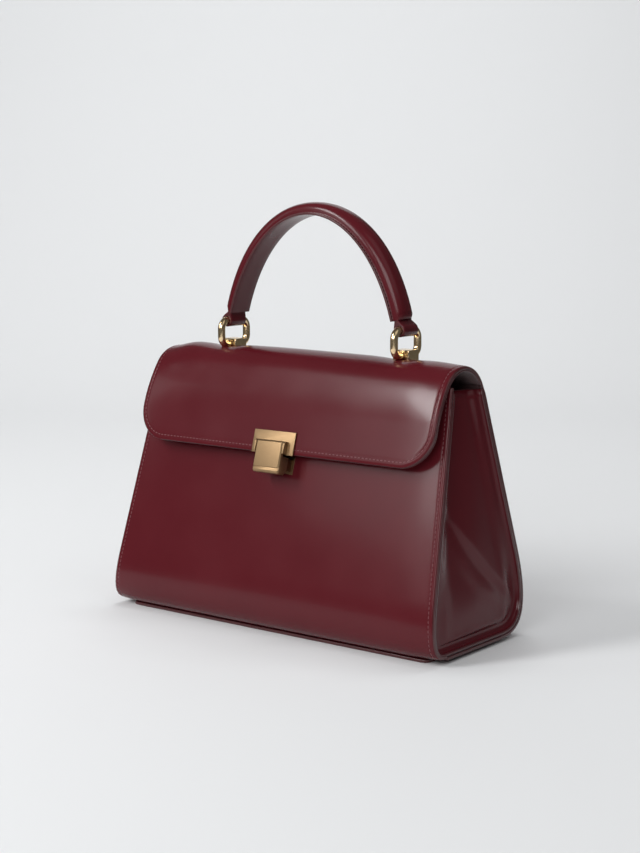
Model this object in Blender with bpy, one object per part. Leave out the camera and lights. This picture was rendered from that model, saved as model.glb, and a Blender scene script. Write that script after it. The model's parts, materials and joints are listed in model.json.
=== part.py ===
# A structured top-handle day bag in smooth calf leather: two splayed panels between gussets with
# turned-out edges, a domed flap with a flip hasp lock, and a padded handle linked to two staples
# by two rings. Metres, +Z up, the front faces -Y, and the origin is on the floor under the middle.

import bpy
import bmesh
from math import acos, asin, atan, atan2, cos, hypot, pi, radians, sin, sqrt
from mathutils import Vector

# Clearance between pieces that touch, and how far a cutter runs past what it cuts
GAP = 0.0003
OVERRUN = 0.0020

# Body
BOTTOM_WIDTH = 0.2850
MOUTH_WIDTH = 0.2560
BODY_HEIGHT = 0.1734
BOTTOM_DEPTH = 0.1316
MOUTH_DEPTH = 0.0386
FRONT_CORNER_RISE = 0.0380
FRONT_CORNER_RUN = 0.0200
BACK_CORNER_RISE = 0.0580
BACK_CORNER_RUN = 0.0410
PANEL_THICKNESS = 0.0024
BOARD_THICKNESS = 0.0008
LINING_THICKNESS = 0.0010
LINING_DROP = 0.0006
BOARD_DROP = 0.0020

# Base that the bag stands on
BASE_THICKNESS = 0.0022
BASE_INSET = 0.0110
BASE_LAP = 0.0030
BASE_CORNER = 0.0060
SEAM_TURN = 0.0020

# Gussets
GUSSET_THICKNESS = 0.0022
GUSSET_INSET = 0.0050
GUSSET_DROP = 0.0042

# Flap
DOME_RADIUS = 0.0255
FLAP_RISE = 0.0130
HINGE_DROP = 0.0150
SHOULDER_LEAN = radians(35)
FLAP_LEAN = radians(16)
FLAP_LENGTH = 0.0644
FLAP_INSET = 0.0003
FLAP_CORNER = 0.0250
FLAP_LEATHER = 0.0019
FLAP_LINING = 0.0009

# Rings
RING_SPACING = 0.1520
RING_SETBACK = 0.0030
RING_DEPTH = 0.0330
RING_HEIGHT = 0.0228
RING_WIRE = 0.0054
RING_CORNER = 0.0062

# Staples
STAPLE_WIDTH = 0.0134
STAPLE_DEPTH = 0.0122
STAPLE_LIFT = 0.0004
STAPLE_CROWN = 0.0012
STAPLE_CORNER = 0.0010
STAPLE_EDGE = 0.0005

# Handle and its tabs
HANDLE_RISE = 0.0805
ARCH_SINK = 0.0386
HANDLE_WIDTH = 0.0210
HANDLE_THICKNESS = 0.0086
HANDLE_EDGE = 0.0016
CORE_DEPTH = 0.0010
TAB_WIDTH = 0.0164
TAB_LEATHER = 0.0016
TAB_SHOW = 0.0070
TAB_INSERT = 0.0070

# Lock plate, its ears and the pin
LOCK_WIDTH = 0.0360
LOCK_HEIGHT = 0.0158
LOCK_THICKNESS = 0.0011
LOCK_OVERHANG = 0.0006
EAR_THICKNESS = 0.0014
EAR_RADIUS = 0.0020
PIN_RADIUS = 0.0008
PIN_RISE = 0.0063

# Hasp
HASP_WIDTH = 0.0227
HASP_KNUCKLE = 0.0021
HASP_LENGTH = 0.0227
HASP_DEPTH = 0.0094
HASP_WALL = 0.0014
HASP_FACE = 0.0015
HASP_NECK = 0.0028
HASP_SHOULDER = 0.0086
HASP_LIP = 0.0025
HASP_LIP_DEPTH = 0.0037
HASP_ROLL = 0.0019
HASP_CHAMFER = 0.0021
HASP_BEVEL = 0.0009
HASP_GROOVE = 0.0005
SPRING_WIDTH = 0.0080
SPRING_THICKNESS = 0.0004
SPRING_LENGTH = 0.0085
SPRING_BOW = 0.0010

# Keeper that the hasp closes over
KEEPER_WIDTH = 0.0187
KEEPER_HEIGHT = 0.0083
KEEPER_DROP = 0.0171
KEEPER_SETBACK = 0.0043
KEEPER_CHAMFER = 0.0018
KEEPER_FLANGE = 0.0012
KEEPER_FLANGE_LAP = 0.0020

# Posts, backplates and screws that hold the metal fittings through the leather
POST_RADIUS = 0.0013
POST_ROOT = 0.0006
SCREW_RADIUS = 0.0006
SCREW_GRIP = 0.0020
SCREW_HEAD_RADIUS = 0.0021
SCREW_HEAD_HEIGHT = 0.0008
BACKPLATE_THICKNESS = 0.0008
BACKPLATE_MARGIN = 0.0035
LOCK_POST_SPACING = 0.0240
KEEPER_POST_SPACING = 0.0130
STAPLE_POST_SPACING = 0.0097

# Facet counts
CORNER_STEPS = 8
DOME_STEPS = 22
BACK_STEPS = 2
FLAP_CURVE_STEPS = 8
FLAP_CORNER_STEPS = 6
HANDLE_STEPS = 36
SECTION_STEPS = 10
RING_CORNER_STEPS = 5
STAPLE_CORNER_STEPS = 3
ROUND_SIDES = 16
CUTTER_SIDES = 96
# How square the padded side of the handle is, where 2 would be an ellipse
HANDLE_FULLNESS = 2.6

# Levels and places that follow from the sizes
BODY_BOTTOM = BASE_THICKNESS + GAP
MOUTH_LEVEL = BODY_BOTTOM + BODY_HEIGHT
GUSSET_TOP = MOUTH_LEVEL - GUSSET_DROP
PANEL_SPLAY = (BOTTOM_DEPTH - MOUTH_DEPTH) / 2
PANEL_LEAN = atan(PANEL_SPLAY / BODY_HEIGHT)
BODY_WALL = PANEL_THICKNESS + BOARD_THICKNESS + LINING_THICKNESS + 2 * GAP
FLAP_THICKNESS = FLAP_LEATHER + GAP + FLAP_LINING
FLAP_WIDTH = MOUTH_WIDTH - 2 * FLAP_INSET
DOME_TOP = MOUTH_LEVEL + FLAP_RISE
DOME_LEVEL = DOME_TOP - DOME_RADIUS
RING_X = RING_SPACING / 2
LOW_BAR = DOME_TOP + STAPLE_LIFT + RING_WIRE / 2
HIGH_BAR = LOW_BAR + RING_HEIGHT - RING_WIRE
ARCH_LEVEL = HIGH_BAR - ARCH_SINK
ARCH_HEIGHT = HANDLE_RISE + ARCH_SINK
ARCH_REACH = RING_X / sqrt(1 - (ARCH_SINK / ARCH_HEIGHT) ** 2)

# Colours and how rough each finish is
CALF = (0.150, 0.012, 0.018)
SUEDE = (0.100, 0.016, 0.020)
PULP = (0.420, 0.330, 0.230)
BRASS = (0.830, 0.620, 0.330)
CALF_ROUGHNESS = 0.32
SUEDE_ROUGHNESS = 0.85
PULP_ROUGHNESS = 0.90
BRASS_ROUGHNESS = 0.20


# The scene, its objects and their finishes


def clear_scene():
    for item in list(bpy.data.objects):
        bpy.data.objects.remove(item, do_unlink=True)


def finish(name, colour, roughness, metallic=0.0):
    made = bpy.data.materials.new(name + "_finish")
    made.use_nodes = True
    shader = made.node_tree.nodes["Principled BSDF"]
    shader.inputs["Base Color"].default_value = (*colour, 1.0)
    shader.inputs["Roughness"].default_value = roughness
    shader.inputs["Metallic"].default_value = metallic
    return made


def leather(name):
    return finish(name, CALF, CALF_ROUGHNESS)


def suede(name):
    return finish(name, SUEDE, SUEDE_ROUGHNESS)


def board(name):
    return finish(name, PULP, PULP_ROUGHNESS)


def gold(name):
    return finish(name, BRASS, BRASS_ROUGHNESS, 1.0)


def new_object(name, mesh, look):
    made = bpy.data.objects.new(name, mesh)
    bpy.context.scene.collection.objects.link(made)
    if look is None:
        made.hide_render = True
        made.display_type = "WIRE"
    else:
        mesh.materials.append(look(name))
        mesh.shade_smooth()
        mesh.set_sharp_from_angle(angle=radians(35))
    return made


def loft(name, loops, look=None, closed=False):
    """One closed body through loops of equally many points, capped unless the row closes on itself."""
    shape = bmesh.new()
    rows = [[shape.verts.new(point) for point in loop] for loop in loops]
    pairs = list(zip(rows, rows[1:]))
    if closed:
        pairs.append((rows[-1], rows[0]))
    else:
        shape.faces.new(rows[0])
        shape.faces.new(rows[-1])
    for first, second in pairs:
        for near in range(len(first)):
            far = (near + 1) % len(first)
            shape.faces.new((first[near], first[far], second[far], second[near]))
    bmesh.ops.recalc_face_normals(shape, faces=shape.faces[:])
    mesh = bpy.data.meshes.new(name)
    shape.to_mesh(mesh)
    shape.free()
    return new_object(name, mesh, look)


def change(target, tool, operation):
    step = target.modifiers.new(tool.name, "BOOLEAN")
    step.operation = operation
    step.solver = "EXACT"
    step.object = tool


def cut(target, tool):
    change(target, tool, "DIFFERENCE")


def weld(target, tool):
    change(target, tool, "UNION")


# Outlines


def arc(centre, radius, start, end, steps):
    turns = [start + (end - start) * step / steps for step in range(steps + 1)]
    return [(centre[0] + radius * cos(turn), centre[1] + radius * sin(turn)) for turn in turns]


def rounded_rectangle(low, high, radius, steps):
    centres = (
        (high[0] - radius, high[1] - radius),
        (low[0] + radius, high[1] - radius),
        (low[0] + radius, low[1] + radius),
        (high[0] - radius, low[1] + radius),
    )
    points = []
    for quarter, centre in enumerate(centres):
        points += arc(centre, radius, quarter * pi / 2, (quarter + 1) * pi / 2, steps)
    return points


def across_x(name, outline, low, high, look=None):
    """An outline of (y, z) points carried along X."""
    return loft(name, [[Vector((x, y, z)) for y, z in outline] for x in (low, high)], look)


def rod(name, start, end, radius, look=None, sides=ROUND_SIDES):
    along = (end - start).normalized()
    across = along.orthogonal().normalized()
    up = along.cross(across)
    round_outline = arc((0, 0), radius, 0, 2 * pi, sides)[:-1]
    loops = [[place + u * across + v * up for u, v in round_outline] for place in (start, end)]
    return loft(name, loops, look)


# Paths in the plane of Y and Z run front, base, back, dome, flap, so their outside is on the right


def outward(start, end):
    along = hypot(end[0] - start[0], end[1] - start[1])
    return (end[1] - start[1]) / along, -(end[0] - start[0]) / along


def offset(path, distance):
    """The path moved outwards by distance, or inwards where it is negative, with mitred bends."""
    last = len(path) - 1
    moved = []
    for index, (y, z) in enumerate(path):
        before = outward(path[max(index - 1, 0)], path[max(index, 1)])
        after = outward(path[min(index, last - 1)], path[min(index + 1, last)])
        bend = (before[0] + after[0], before[1] + after[1])
        size = bend[0] * after[0] + bend[1] * after[1]
        moved.append((y + distance * bend[0] / size, z + distance * bend[1] / size))
    return moved


def clip_below(path, level):
    """The stretch of a path that lies under the level, with its cut ends on the level."""
    clipped = []
    for (near_y, near_z), (far_y, far_z) in zip(path, path[1:]):
        if near_z < level:
            clipped.append((near_y, near_z))
        if (near_z < level) != (far_z < level):
            share = (level - near_z) / (far_z - near_z)
            clipped.append((near_y + share * (far_y - near_y), level))
    return clipped


def panel_y(level):
    """How far a panel's straight outer face stands from the middle at this level."""
    return MOUTH_DEPTH / 2 + PANEL_SPLAY * (MOUTH_LEVEL - level) / BODY_HEIGHT


def half_width(level):
    spread = (BOTTOM_WIDTH - MOUTH_WIDTH) / 2
    return MOUTH_WIDTH / 2 + spread * (MOUTH_LEVEL - level) / BODY_HEIGHT


def inner_half_width(level):
    return half_width(level) - GUSSET_INSET - GUSSET_THICKNESS - GAP


def lower_corner(side, rise, run):
    """A soft lower corner from a panel down to the base, pulled towards the sharp corner."""
    start = (side * panel_y(BODY_BOTTOM + rise), BODY_BOTTOM + rise)
    sharp = (side * panel_y(BODY_BOTTOM), BODY_BOTTOM)
    end = (side * (panel_y(BODY_BOTTOM) - run), BODY_BOTTOM)
    points = []
    for step in range(CORNER_STEPS + 1):
        t = step / CORNER_STEPS
        pulls = ((1 - t) ** 2, 2 * t * (1 - t), t**2)
        y = sum(pull * point[0] for pull, point in zip(pulls, (start, sharp, end)))
        z = sum(pull * point[1] for pull, point in zip(pulls, (start, sharp, end)))
        points.append((y, z))
    return points


# The dome of the flap runs on from the back panel's line. A turn on it counts from straight up to the back.
BACK_TOUCH = pi / 2 - PANEL_LEAN
FRONT_TOUCH = SHOULDER_LEAN - pi / 2
HINGE_TURN = acos(1 - HINGE_DROP / DOME_RADIUS)
TOUCH_LEVEL = DOME_LEVEL + DOME_RADIUS * cos(BACK_TOUCH)
DOME_Y = panel_y(TOUCH_LEVEL) - DOME_RADIUS * sin(BACK_TOUCH)


def dome_point(turn, radius=DOME_RADIUS):
    return DOME_Y + radius * sin(turn), DOME_LEVEL + radius * cos(turn)


def dome_arc(start, end, steps):
    return [dome_point(start + (end - start) * step / steps) for step in range(steps + 1)]


# From the dome the flap steepens in one gentle curve, and it is flat from the top of its corners down
SHOULDER = dome_point(FRONT_TOUCH)
FLAP_LEVEL = DOME_TOP - FLAP_LENGTH
CURVE_DROP = SHOULDER[1] - FLAP_LEVEL - FLAP_CORNER * cos(FLAP_LEAN)
CURVE_RADIUS = CURVE_DROP / (sin(SHOULDER_LEAN) - sin(FLAP_LEAN))


def flap_curve():
    """Points down the gentle curve after the dome's last point, down to the flat stretch."""
    centre_y = SHOULDER[0] + CURVE_RADIUS * cos(SHOULDER_LEAN)
    centre_z = SHOULDER[1] - CURVE_RADIUS * sin(SHOULDER_LEAN)
    points = []
    for step in range(1, FLAP_CURVE_STEPS + 1):
        lean = SHOULDER_LEAN + (FLAP_LEAN - SHOULDER_LEAN) * step / FLAP_CURVE_STEPS
        points.append((centre_y - CURVE_RADIUS * cos(lean), centre_z + CURVE_RADIUS * sin(lean)))
    return points


FLAP_CURVE = flap_curve()


def flap_face(up, out):
    """A point up the flap's flat stretch from its lower edge, and out from the leather."""
    edge_y = FLAP_CURVE[-1][0] - FLAP_CORNER * sin(FLAP_LEAN)
    y = edge_y + up * sin(FLAP_LEAN) - out * cos(FLAP_LEAN)
    return y, FLAP_LEVEL + up * cos(FLAP_LEAN) + out * sin(FLAP_LEAN)


def panel_face(level, out):
    """A point on the front panel's straight face at this level, moved out from the leather."""
    y = -panel_y(level) - out * cos(PANEL_LEAN)
    return y, level + out * sin(PANEL_LEAN)


def flap_front():
    """Points down the flap's front, close together round its corners, each with its half width."""
    points, widths = [], []
    for step in range(1, FLAP_CORNER_STEPS + 1):
        turn = pi / 2 * (1 - step / FLAP_CORNER_STEPS)
        points.append(flap_face(FLAP_CORNER * (1 - cos(turn)), 0))
        widths.append(FLAP_WIDTH / 2 - FLAP_CORNER * (1 - sin(turn)))
    return points, widths


# The outer skin in profile, from the front's top edge round under the base and over to the flap's edge
LINING_TOP = TOUCH_LEVEL - LINING_DROP
TOP_LEVELS = (MOUTH_LEVEL, LINING_TOP, LINING_TOP - BOARD_DROP)
TOPS = [(panel_y(level), level) for level in TOP_LEVELS]
FRONT_CURVE = lower_corner(-1, FRONT_CORNER_RISE, FRONT_CORNER_RUN)
BACK_CURVE = lower_corner(1, BACK_CORNER_RISE, BACK_CORNER_RUN)
SEAM_FRONT = FRONT_CURVE[-1][0] + SEAM_TURN
SEAM_BACK = BACK_CURVE[-1][0] - SEAM_TURN
FRONT_PATH = [(-y, z) for y, z in TOPS] + FRONT_CURVE + [(SEAM_FRONT, BODY_BOTTOM)]
FLAT_PATH = [(SEAM_FRONT + GAP, BODY_BOTTOM), (SEAM_BACK - GAP, BODY_BOTTOM)]
BACK_WALL = [(SEAM_BACK, BODY_BOTTOM)] + BACK_CURVE[::-1] + TOPS[:0:-1]
BACK_PATH = BACK_WALL + dome_arc(BACK_TOUCH, HINGE_TURN, BACK_STEPS)
OVER_DOME = dome_arc(HINGE_TURN - GAP / DOME_RADIUS, FRONT_TOUCH, DOME_STEPS)
FLAP_PATH = OVER_DOME + FLAP_CURVE + flap_front()[0]
PROFILE = FRONT_PATH + FLAT_PATH + BACK_PATH + FLAP_PATH


def layer(path, depth):
    """A stretch of the profile moved inwards to this depth, with its bends mitred as in the whole."""
    start = PROFILE.index(path[0])
    return offset(PROFILE, -depth)[start : start + len(path)]


def sheet(name, path, width_at, depth, thickness, look):
    """A leather or board layer along a stretch of the profile, its outer face at this depth."""
    return band(name, layer(path, depth), layer(path, depth + thickness), width_at, look)


def band(name, outer, inner, width_at, look):
    """The body between two paths. width_at gives half its width for a path point."""
    loops = []
    for index, pair in enumerate(zip(outer, inner)):
        loop = []
        for (y, z), side in zip((pair[0], pair[0], pair[1], pair[1]), (-1, 1, 1, -1)):
            loop.append(Vector((side * width_at(index, z), y, z)))
        loops.append(loop)
    return loft(name, loops, look)


# Posts and screws


def fixing(name, carrier, layers, backplate, surface, inward, spacing, depth):
    """Two posts go from a fitting through the layers, and a screw holds the backplate on each.

    surface is a point of the leather's outer face on the fixing's middle, depth the layers' thickness.
    """
    for side, word in ((-1, "left"), (1, "right")):
        foot = surface + Vector((side * spacing / 2, 0, 0))
        end = foot + inward * depth
        weld(carrier, rod(name + "_post_" + word, foot - inward * (GAP + POST_ROOT), end, POST_RADIUS))
        bore_end = end + inward * OVERRUN
        bore_start = end - inward * (SCREW_GRIP + GAP)
        cut(carrier, rod(name + "_bore_" + word, bore_start, bore_end, SCREW_RADIUS + GAP))
        clear_start = foot - inward * OVERRUN
        for pierced in layers:
            hole_name = pierced.name + "_" + name + "_hole_" + word
            cut(pierced, rod(hole_name, clear_start, bore_end, POST_RADIUS + GAP))
        plate_end = end + inward * (2 * GAP + BACKPLATE_THICKNESS + OVERRUN)
        hole = rod(name + "_backplate_hole_" + word, end - inward * OVERRUN, plate_end, SCREW_RADIUS + GAP)
        cut(backplate, hole)
        seat = end + inward * (2 * GAP + BACKPLATE_THICKNESS)
        head = seat + inward * SCREW_HEAD_HEIGHT
        along = inward.orthogonal().normalized()
        other = inward.cross(along)
        loops = []
        for place, radius in (
            (head, SCREW_HEAD_RADIUS),
            (seat, SCREW_HEAD_RADIUS),
            (seat, SCREW_RADIUS),
            (end - inward * SCREW_GRIP, SCREW_RADIUS),
        ):
            ring = arc((0, 0), radius, 0, 2 * pi, ROUND_SIDES)[:-1]
            loops.append([place + u * along + v * other for u, v in ring])
        loft(name + "_screw_" + word, loops, gold)


# Body


def make_body():
    """Front, bottom and back panels with their boards, the base over the seams, and the lining."""

    def full(_, level):
        return half_width(level)

    def inner(_, level):
        return inner_half_width(level)

    front = sheet("front_panel", FRONT_PATH, full, 0, PANEL_THICKNESS, leather)
    sheet("back_panel", BACK_PATH, full, 0, PANEL_THICKNESS, leather)
    sheet("bottom_panel", FLAT_PATH, full, 0, PANEL_THICKNESS, leather)

    depth = PANEL_THICKNESS + GAP
    front_board = sheet("front_board", FRONT_PATH[2:], inner, depth, BOARD_THICKNESS, board)
    sheet("base_board", FLAT_PATH, inner, depth, BOARD_THICKNESS, board)
    sheet("back_board", BACK_WALL[:-1], inner, depth, BOARD_THICKNESS, board)
    depth += BOARD_THICKNESS + GAP
    inside = FRONT_PATH[1:] + FLAT_PATH + BACK_WALL
    lining = sheet("body_lining", inside, inner, depth, LINING_THICKNESS, suede)

    half = half_width(BODY_BOTTOM) - BASE_INSET
    low, high = (-half, SEAM_FRONT - BASE_LAP), (half, SEAM_BACK + BASE_LAP)
    outline = rounded_rectangle(low, high, BASE_CORNER, CORNER_STEPS // 2)
    base = [[Vector((x, y, level)) for x, y in outline] for level in (0, BASE_THICKNESS)]
    loft("base_panel", base, leather)
    return front, front_board, lining


def make_gussets():
    """Each gusset is a web set in from the ends, with its edge turned out flat against the panels."""
    body_path = FRONT_PATH + FLAT_PATH + BACK_PATH
    depth = PANEL_THICKNESS + GAP
    outer = clip_below(layer(body_path, depth), GUSSET_TOP)
    hollow = clip_below(layer(body_path, depth + GUSSET_THICKNESS), GUSSET_TOP + OVERRUN)
    skin = clip_below(layer(body_path, BODY_WALL + GAP), GUSSET_TOP)
    web = GUSSET_INSET + GUSSET_THICKNESS
    for side, word in ((-1, "left"), (1, "right")):

        def slab(name, path, near, far, look=None):
            loops = []
            for inset in (near, far):
                loops.append([Vector((side * (half_width(z) - inset), y, z)) for y, z in path])
            return loft(name, loops, look)

        gusset = slab("gusset_" + word, outer, 0, web, leather)
        cut(gusset, slab("gusset_hollow_" + word, hollow, -OVERRUN, GUSSET_INSET))
        slab("gusset_lining_" + word, skin, web + GAP, web + GAP + LINING_THICKNESS, suede)


# Flap


def make_flap():
    """The outer leather and lining of the flap, over the dome and down to two rounded corners."""
    corner_widths = flap_front()[1]
    straight = len(FLAP_PATH) - len(corner_widths)

    def width_at(index, _):
        return FLAP_WIDTH / 2 if index < straight else corner_widths[index - straight]

    outer = sheet("flap_leather", FLAP_PATH, width_at, 0, FLAP_LEATHER, leather)
    inner = sheet("flap_lining", FLAP_PATH, width_at, FLAP_LEATHER + GAP, FLAP_LINING, suede)
    return outer, inner


# Lock


# The hasp's knuckle just clears the lock plate
PIN_OUT = LOCK_THICKNESS + 2 * GAP + HASP_KNUCKLE
PIN = flap_face(PIN_RISE, PIN_OUT)


def from_pin(points):
    """Points given as (in towards the bag, up the flap) from the pin's centre."""
    return [flap_face(PIN_RISE + rise, PIN_OUT - depth) for depth, rise in points]


def make_lock_plate(flap_layers):
    """The plate on the flap's lower edge, with the two ears that carry the hasp's pin."""
    low, high = GAP, GAP + LOCK_THICKNESS
    corners = ((-LOCK_OVERHANG, low), (-LOCK_OVERHANG, high))
    top = LOCK_HEIGHT - LOCK_OVERHANG
    outline = [flap_face(*point) for point in (*corners, (top, high), (top, low))]
    plate = across_x("lock_plate", outline, -LOCK_WIDTH / 2, LOCK_WIDTH / 2, gold)

    root = (GAP + LOCK_THICKNESS) / 2
    ear = [(PIN_OUT - root, -PIN_RISE), (-EAR_RADIUS, -PIN_RISE)]
    ear += arc((0, 0), EAR_RADIUS, pi, pi / 2, ROUND_SIDES // 4)
    ear = from_pin([*ear, (PIN_OUT - root, EAR_RADIUS)])
    reach = HASP_WIDTH / 2 + GAP + EAR_THICKNESS
    for side, word in ((-1, "left"), (1, "right")):
        weld(plate, across_x("ear_" + word, ear, side * (reach - EAR_THICKNESS), side * reach))
    far = Vector((reach + OVERRUN, *PIN))
    near = Vector((-reach - OVERRUN, *PIN))
    cut(plate, rod("ear_bore", near, far, PIN_RADIUS + GAP))
    end = reach - GAP
    rod("hasp_pin", Vector((-end, *PIN)), Vector((end, *PIN)), PIN_RADIUS, gold)

    middle = (PIN_RISE + EAR_RADIUS + LOCK_HEIGHT - LOCK_OVERHANG) / 2
    behind = FLAP_THICKNESS + GAP
    lap = BACKPLATE_MARGIN
    corners = ((middle - lap, -behind), (middle - lap, -behind - BACKPLATE_THICKNESS))
    corners += ((middle + lap, -behind - BACKPLATE_THICKNESS), (middle + lap, -behind))
    half = LOCK_POST_SPACING / 2 + lap
    backplate = across_x("lock_backplate", [flap_face(*p) for p in corners], -half, half, gold)
    surface = Vector((0, *flap_face(middle, 0)))
    inward = Vector((0, cos(FLAP_LEAN), -sin(FLAP_LEAN)))
    fixing("lock", plate, flap_layers, backplate, surface, inward, LOCK_POST_SPACING, FLAP_THICKNESS)


def make_hasp():
    """A hollow box along the flap below the pin, with bevelled ends, a rolled lip and no back."""
    front, back = -HASP_KNUCKLE, HASP_DEPTH - HASP_KNUCKLE
    neck = HASP_NECK - HASP_KNUCKLE
    bottom = -HASP_LENGTH + HASP_KNUCKLE
    outline = arc((0, 0), HASP_KNUCKLE, -pi / 3, pi, ROUND_SIDES)
    groove = bottom + 2 * HASP_ROLL
    outline += [(front, groove + HASP_GROOVE), (front + HASP_GROOVE, groove)]
    roll_centre = (front + HASP_ROLL, bottom + HASP_ROLL)
    outline += arc(roll_centre, HASP_ROLL, pi, 3 * pi / 2, ROUND_SIDES // 4)
    outline += [(back - HASP_CHAMFER, bottom), (back, bottom + HASP_CHAMFER)]
    outline += [(back, -HASP_SHOULDER), (neck, -HASP_SHOULDER), (neck, -HASP_KNUCKLE - HASP_WALL)]
    across, up = HASP_BEVEL / front, HASP_BEVEL / bottom
    end = [(y + min(y, 0) * across, z + min(z, 0) * up) for y, z in outline]
    half = HASP_WIDTH / 2
    sections = ((-half, end), (HASP_BEVEL - half, outline), (half - HASP_BEVEL, outline), (half, end))
    loops = [[Vector((x, *point)) for point in from_pin(section)] for x, section in sections]
    hasp = loft("lock_hasp", loops, gold)

    inside, past = front + HASP_FACE, back + OVERRUN
    lip_back, lip_top = front + HASP_LIP_DEPTH, bottom + HASP_LIP
    below = bottom - OVERRUN
    cavity = [(inside, -HASP_SHOULDER), (past, OVERRUN - HASP_SHOULDER), (past, below), (lip_back, below)]
    cavity += [(lip_back, lip_top), (inside, lip_top)]
    cut(hasp, across_x("hasp_cavity", from_pin(cavity), HASP_WALL - half, half - HASP_WALL))
    far, near = Vector((half + OVERRUN, *PIN)), Vector((-half - OVERRUN, *PIN))
    cut(hasp, rod("hasp_bore", near, far, PIN_RADIUS + GAP))

    start = -HASP_SHOULDER - GAP
    seat = inside + GAP + SPRING_THICKNESS
    leaf = []
    for step in range(CORNER_STEPS + 1):
        share = step / CORNER_STEPS
        leaf.append((seat + SPRING_BOW * sin(pi * share), start - SPRING_LENGTH * share))
    half_leaf = SPRING_WIDTH / 2
    shim = [(y - SPRING_THICKNESS, z) for y, z in leaf]
    band("hasp_spring", from_pin(leaf), from_pin(shim), lambda *_: half_leaf, gold)


def panel_depth(rise, out):
    """How deep from the pin a line across the flap meets the front panel's face, moved out."""
    (start_y, start_z), (end_y, end_z) = from_pin([(0, rise), (HASP_DEPTH, rise)])

    def outside(y, z):
        return -panel_y(z) - out / cos(PANEL_LEAN) - y

    near, far = outside(start_y, start_z), outside(end_y, end_z)
    return HASP_DEPTH * near / (near - far)


def make_keeper(body_layers):
    """The block on the front panel that the hasp closes over, on a flange screwed through the body."""
    low, high = -KEEPER_DROP, KEEPER_HEIGHT - KEEPER_DROP
    nose = KEEPER_SETBACK - HASP_KNUCKLE
    root_low, root_high = [(panel_depth(rise, KEEPER_FLANGE / 2), rise) for rise in (low, high)]
    block = [root_low, (nose + KEEPER_CHAMFER, low), (nose, low + KEEPER_CHAMFER)]
    block = from_pin([*block, (nose, high), root_high])
    low, high = block[0][1], block[-1][1]
    bottom, top = low - KEEPER_FLANGE_LAP, high + KEEPER_FLANGE_LAP
    flange = [panel_face(bottom, GAP), panel_face(bottom, GAP + KEEPER_FLANGE)]
    flange += [panel_face(top, GAP + KEEPER_FLANGE), panel_face(top, GAP)]
    half = KEEPER_WIDTH / 2
    lap = half + KEEPER_FLANGE_LAP
    keeper = across_x("keeper", flange, -lap, lap, gold)
    weld(keeper, across_x("keeper_block", block, -half, half))

    middle = (low + high) / 2
    behind = -BODY_WALL - GAP
    bottom, top = middle - BACKPLATE_MARGIN, middle + BACKPLATE_MARGIN
    outline = [panel_face(bottom, behind), panel_face(bottom, behind - BACKPLATE_THICKNESS)]
    outline += [panel_face(top, behind - BACKPLATE_THICKNESS), panel_face(top, behind)]
    reach = KEEPER_POST_SPACING / 2 + BACKPLATE_MARGIN
    backplate = across_x("keeper_backplate", outline, -reach, reach, gold)
    surface = Vector((0, *panel_face(middle, 0)))
    inward = Vector((0, cos(PANEL_LEAN), -sin(PANEL_LEAN)))
    fixing("keeper", keeper, body_layers, backplate, surface, inward, KEEPER_POST_SPACING, BODY_WALL)


# Rings, staples and handle


def make_ring(word, side):
    """A rounded rectangle of round wire, standing in the plane of Y and Z."""
    half = (RING_DEPTH - RING_WIRE) / 2
    low, high = (RING_SETBACK - half, LOW_BAR), (RING_SETBACK + half, HIGH_BAR)
    centre_line = rounded_rectangle(low, high, RING_CORNER, RING_CORNER_STEPS)
    loops = []
    for index, (y, z) in enumerate(centre_line):
        quarter, step = divmod(index, RING_CORNER_STEPS + 1)
        turn = (quarter + step / RING_CORNER_STEPS) * pi / 2
        loop = []
        for part in range(ROUND_SIDES):
            way = 2 * pi * part / ROUND_SIDES
            out = RING_WIRE / 2 * cos(way)
            x = side * RING_X + RING_WIRE / 2 * sin(way)
            loop.append(Vector((x, y + out * cos(turn), z + out * sin(turn))))
        loops.append(loop)
    loft("ring_" + word, loops, gold, closed=True)


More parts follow.
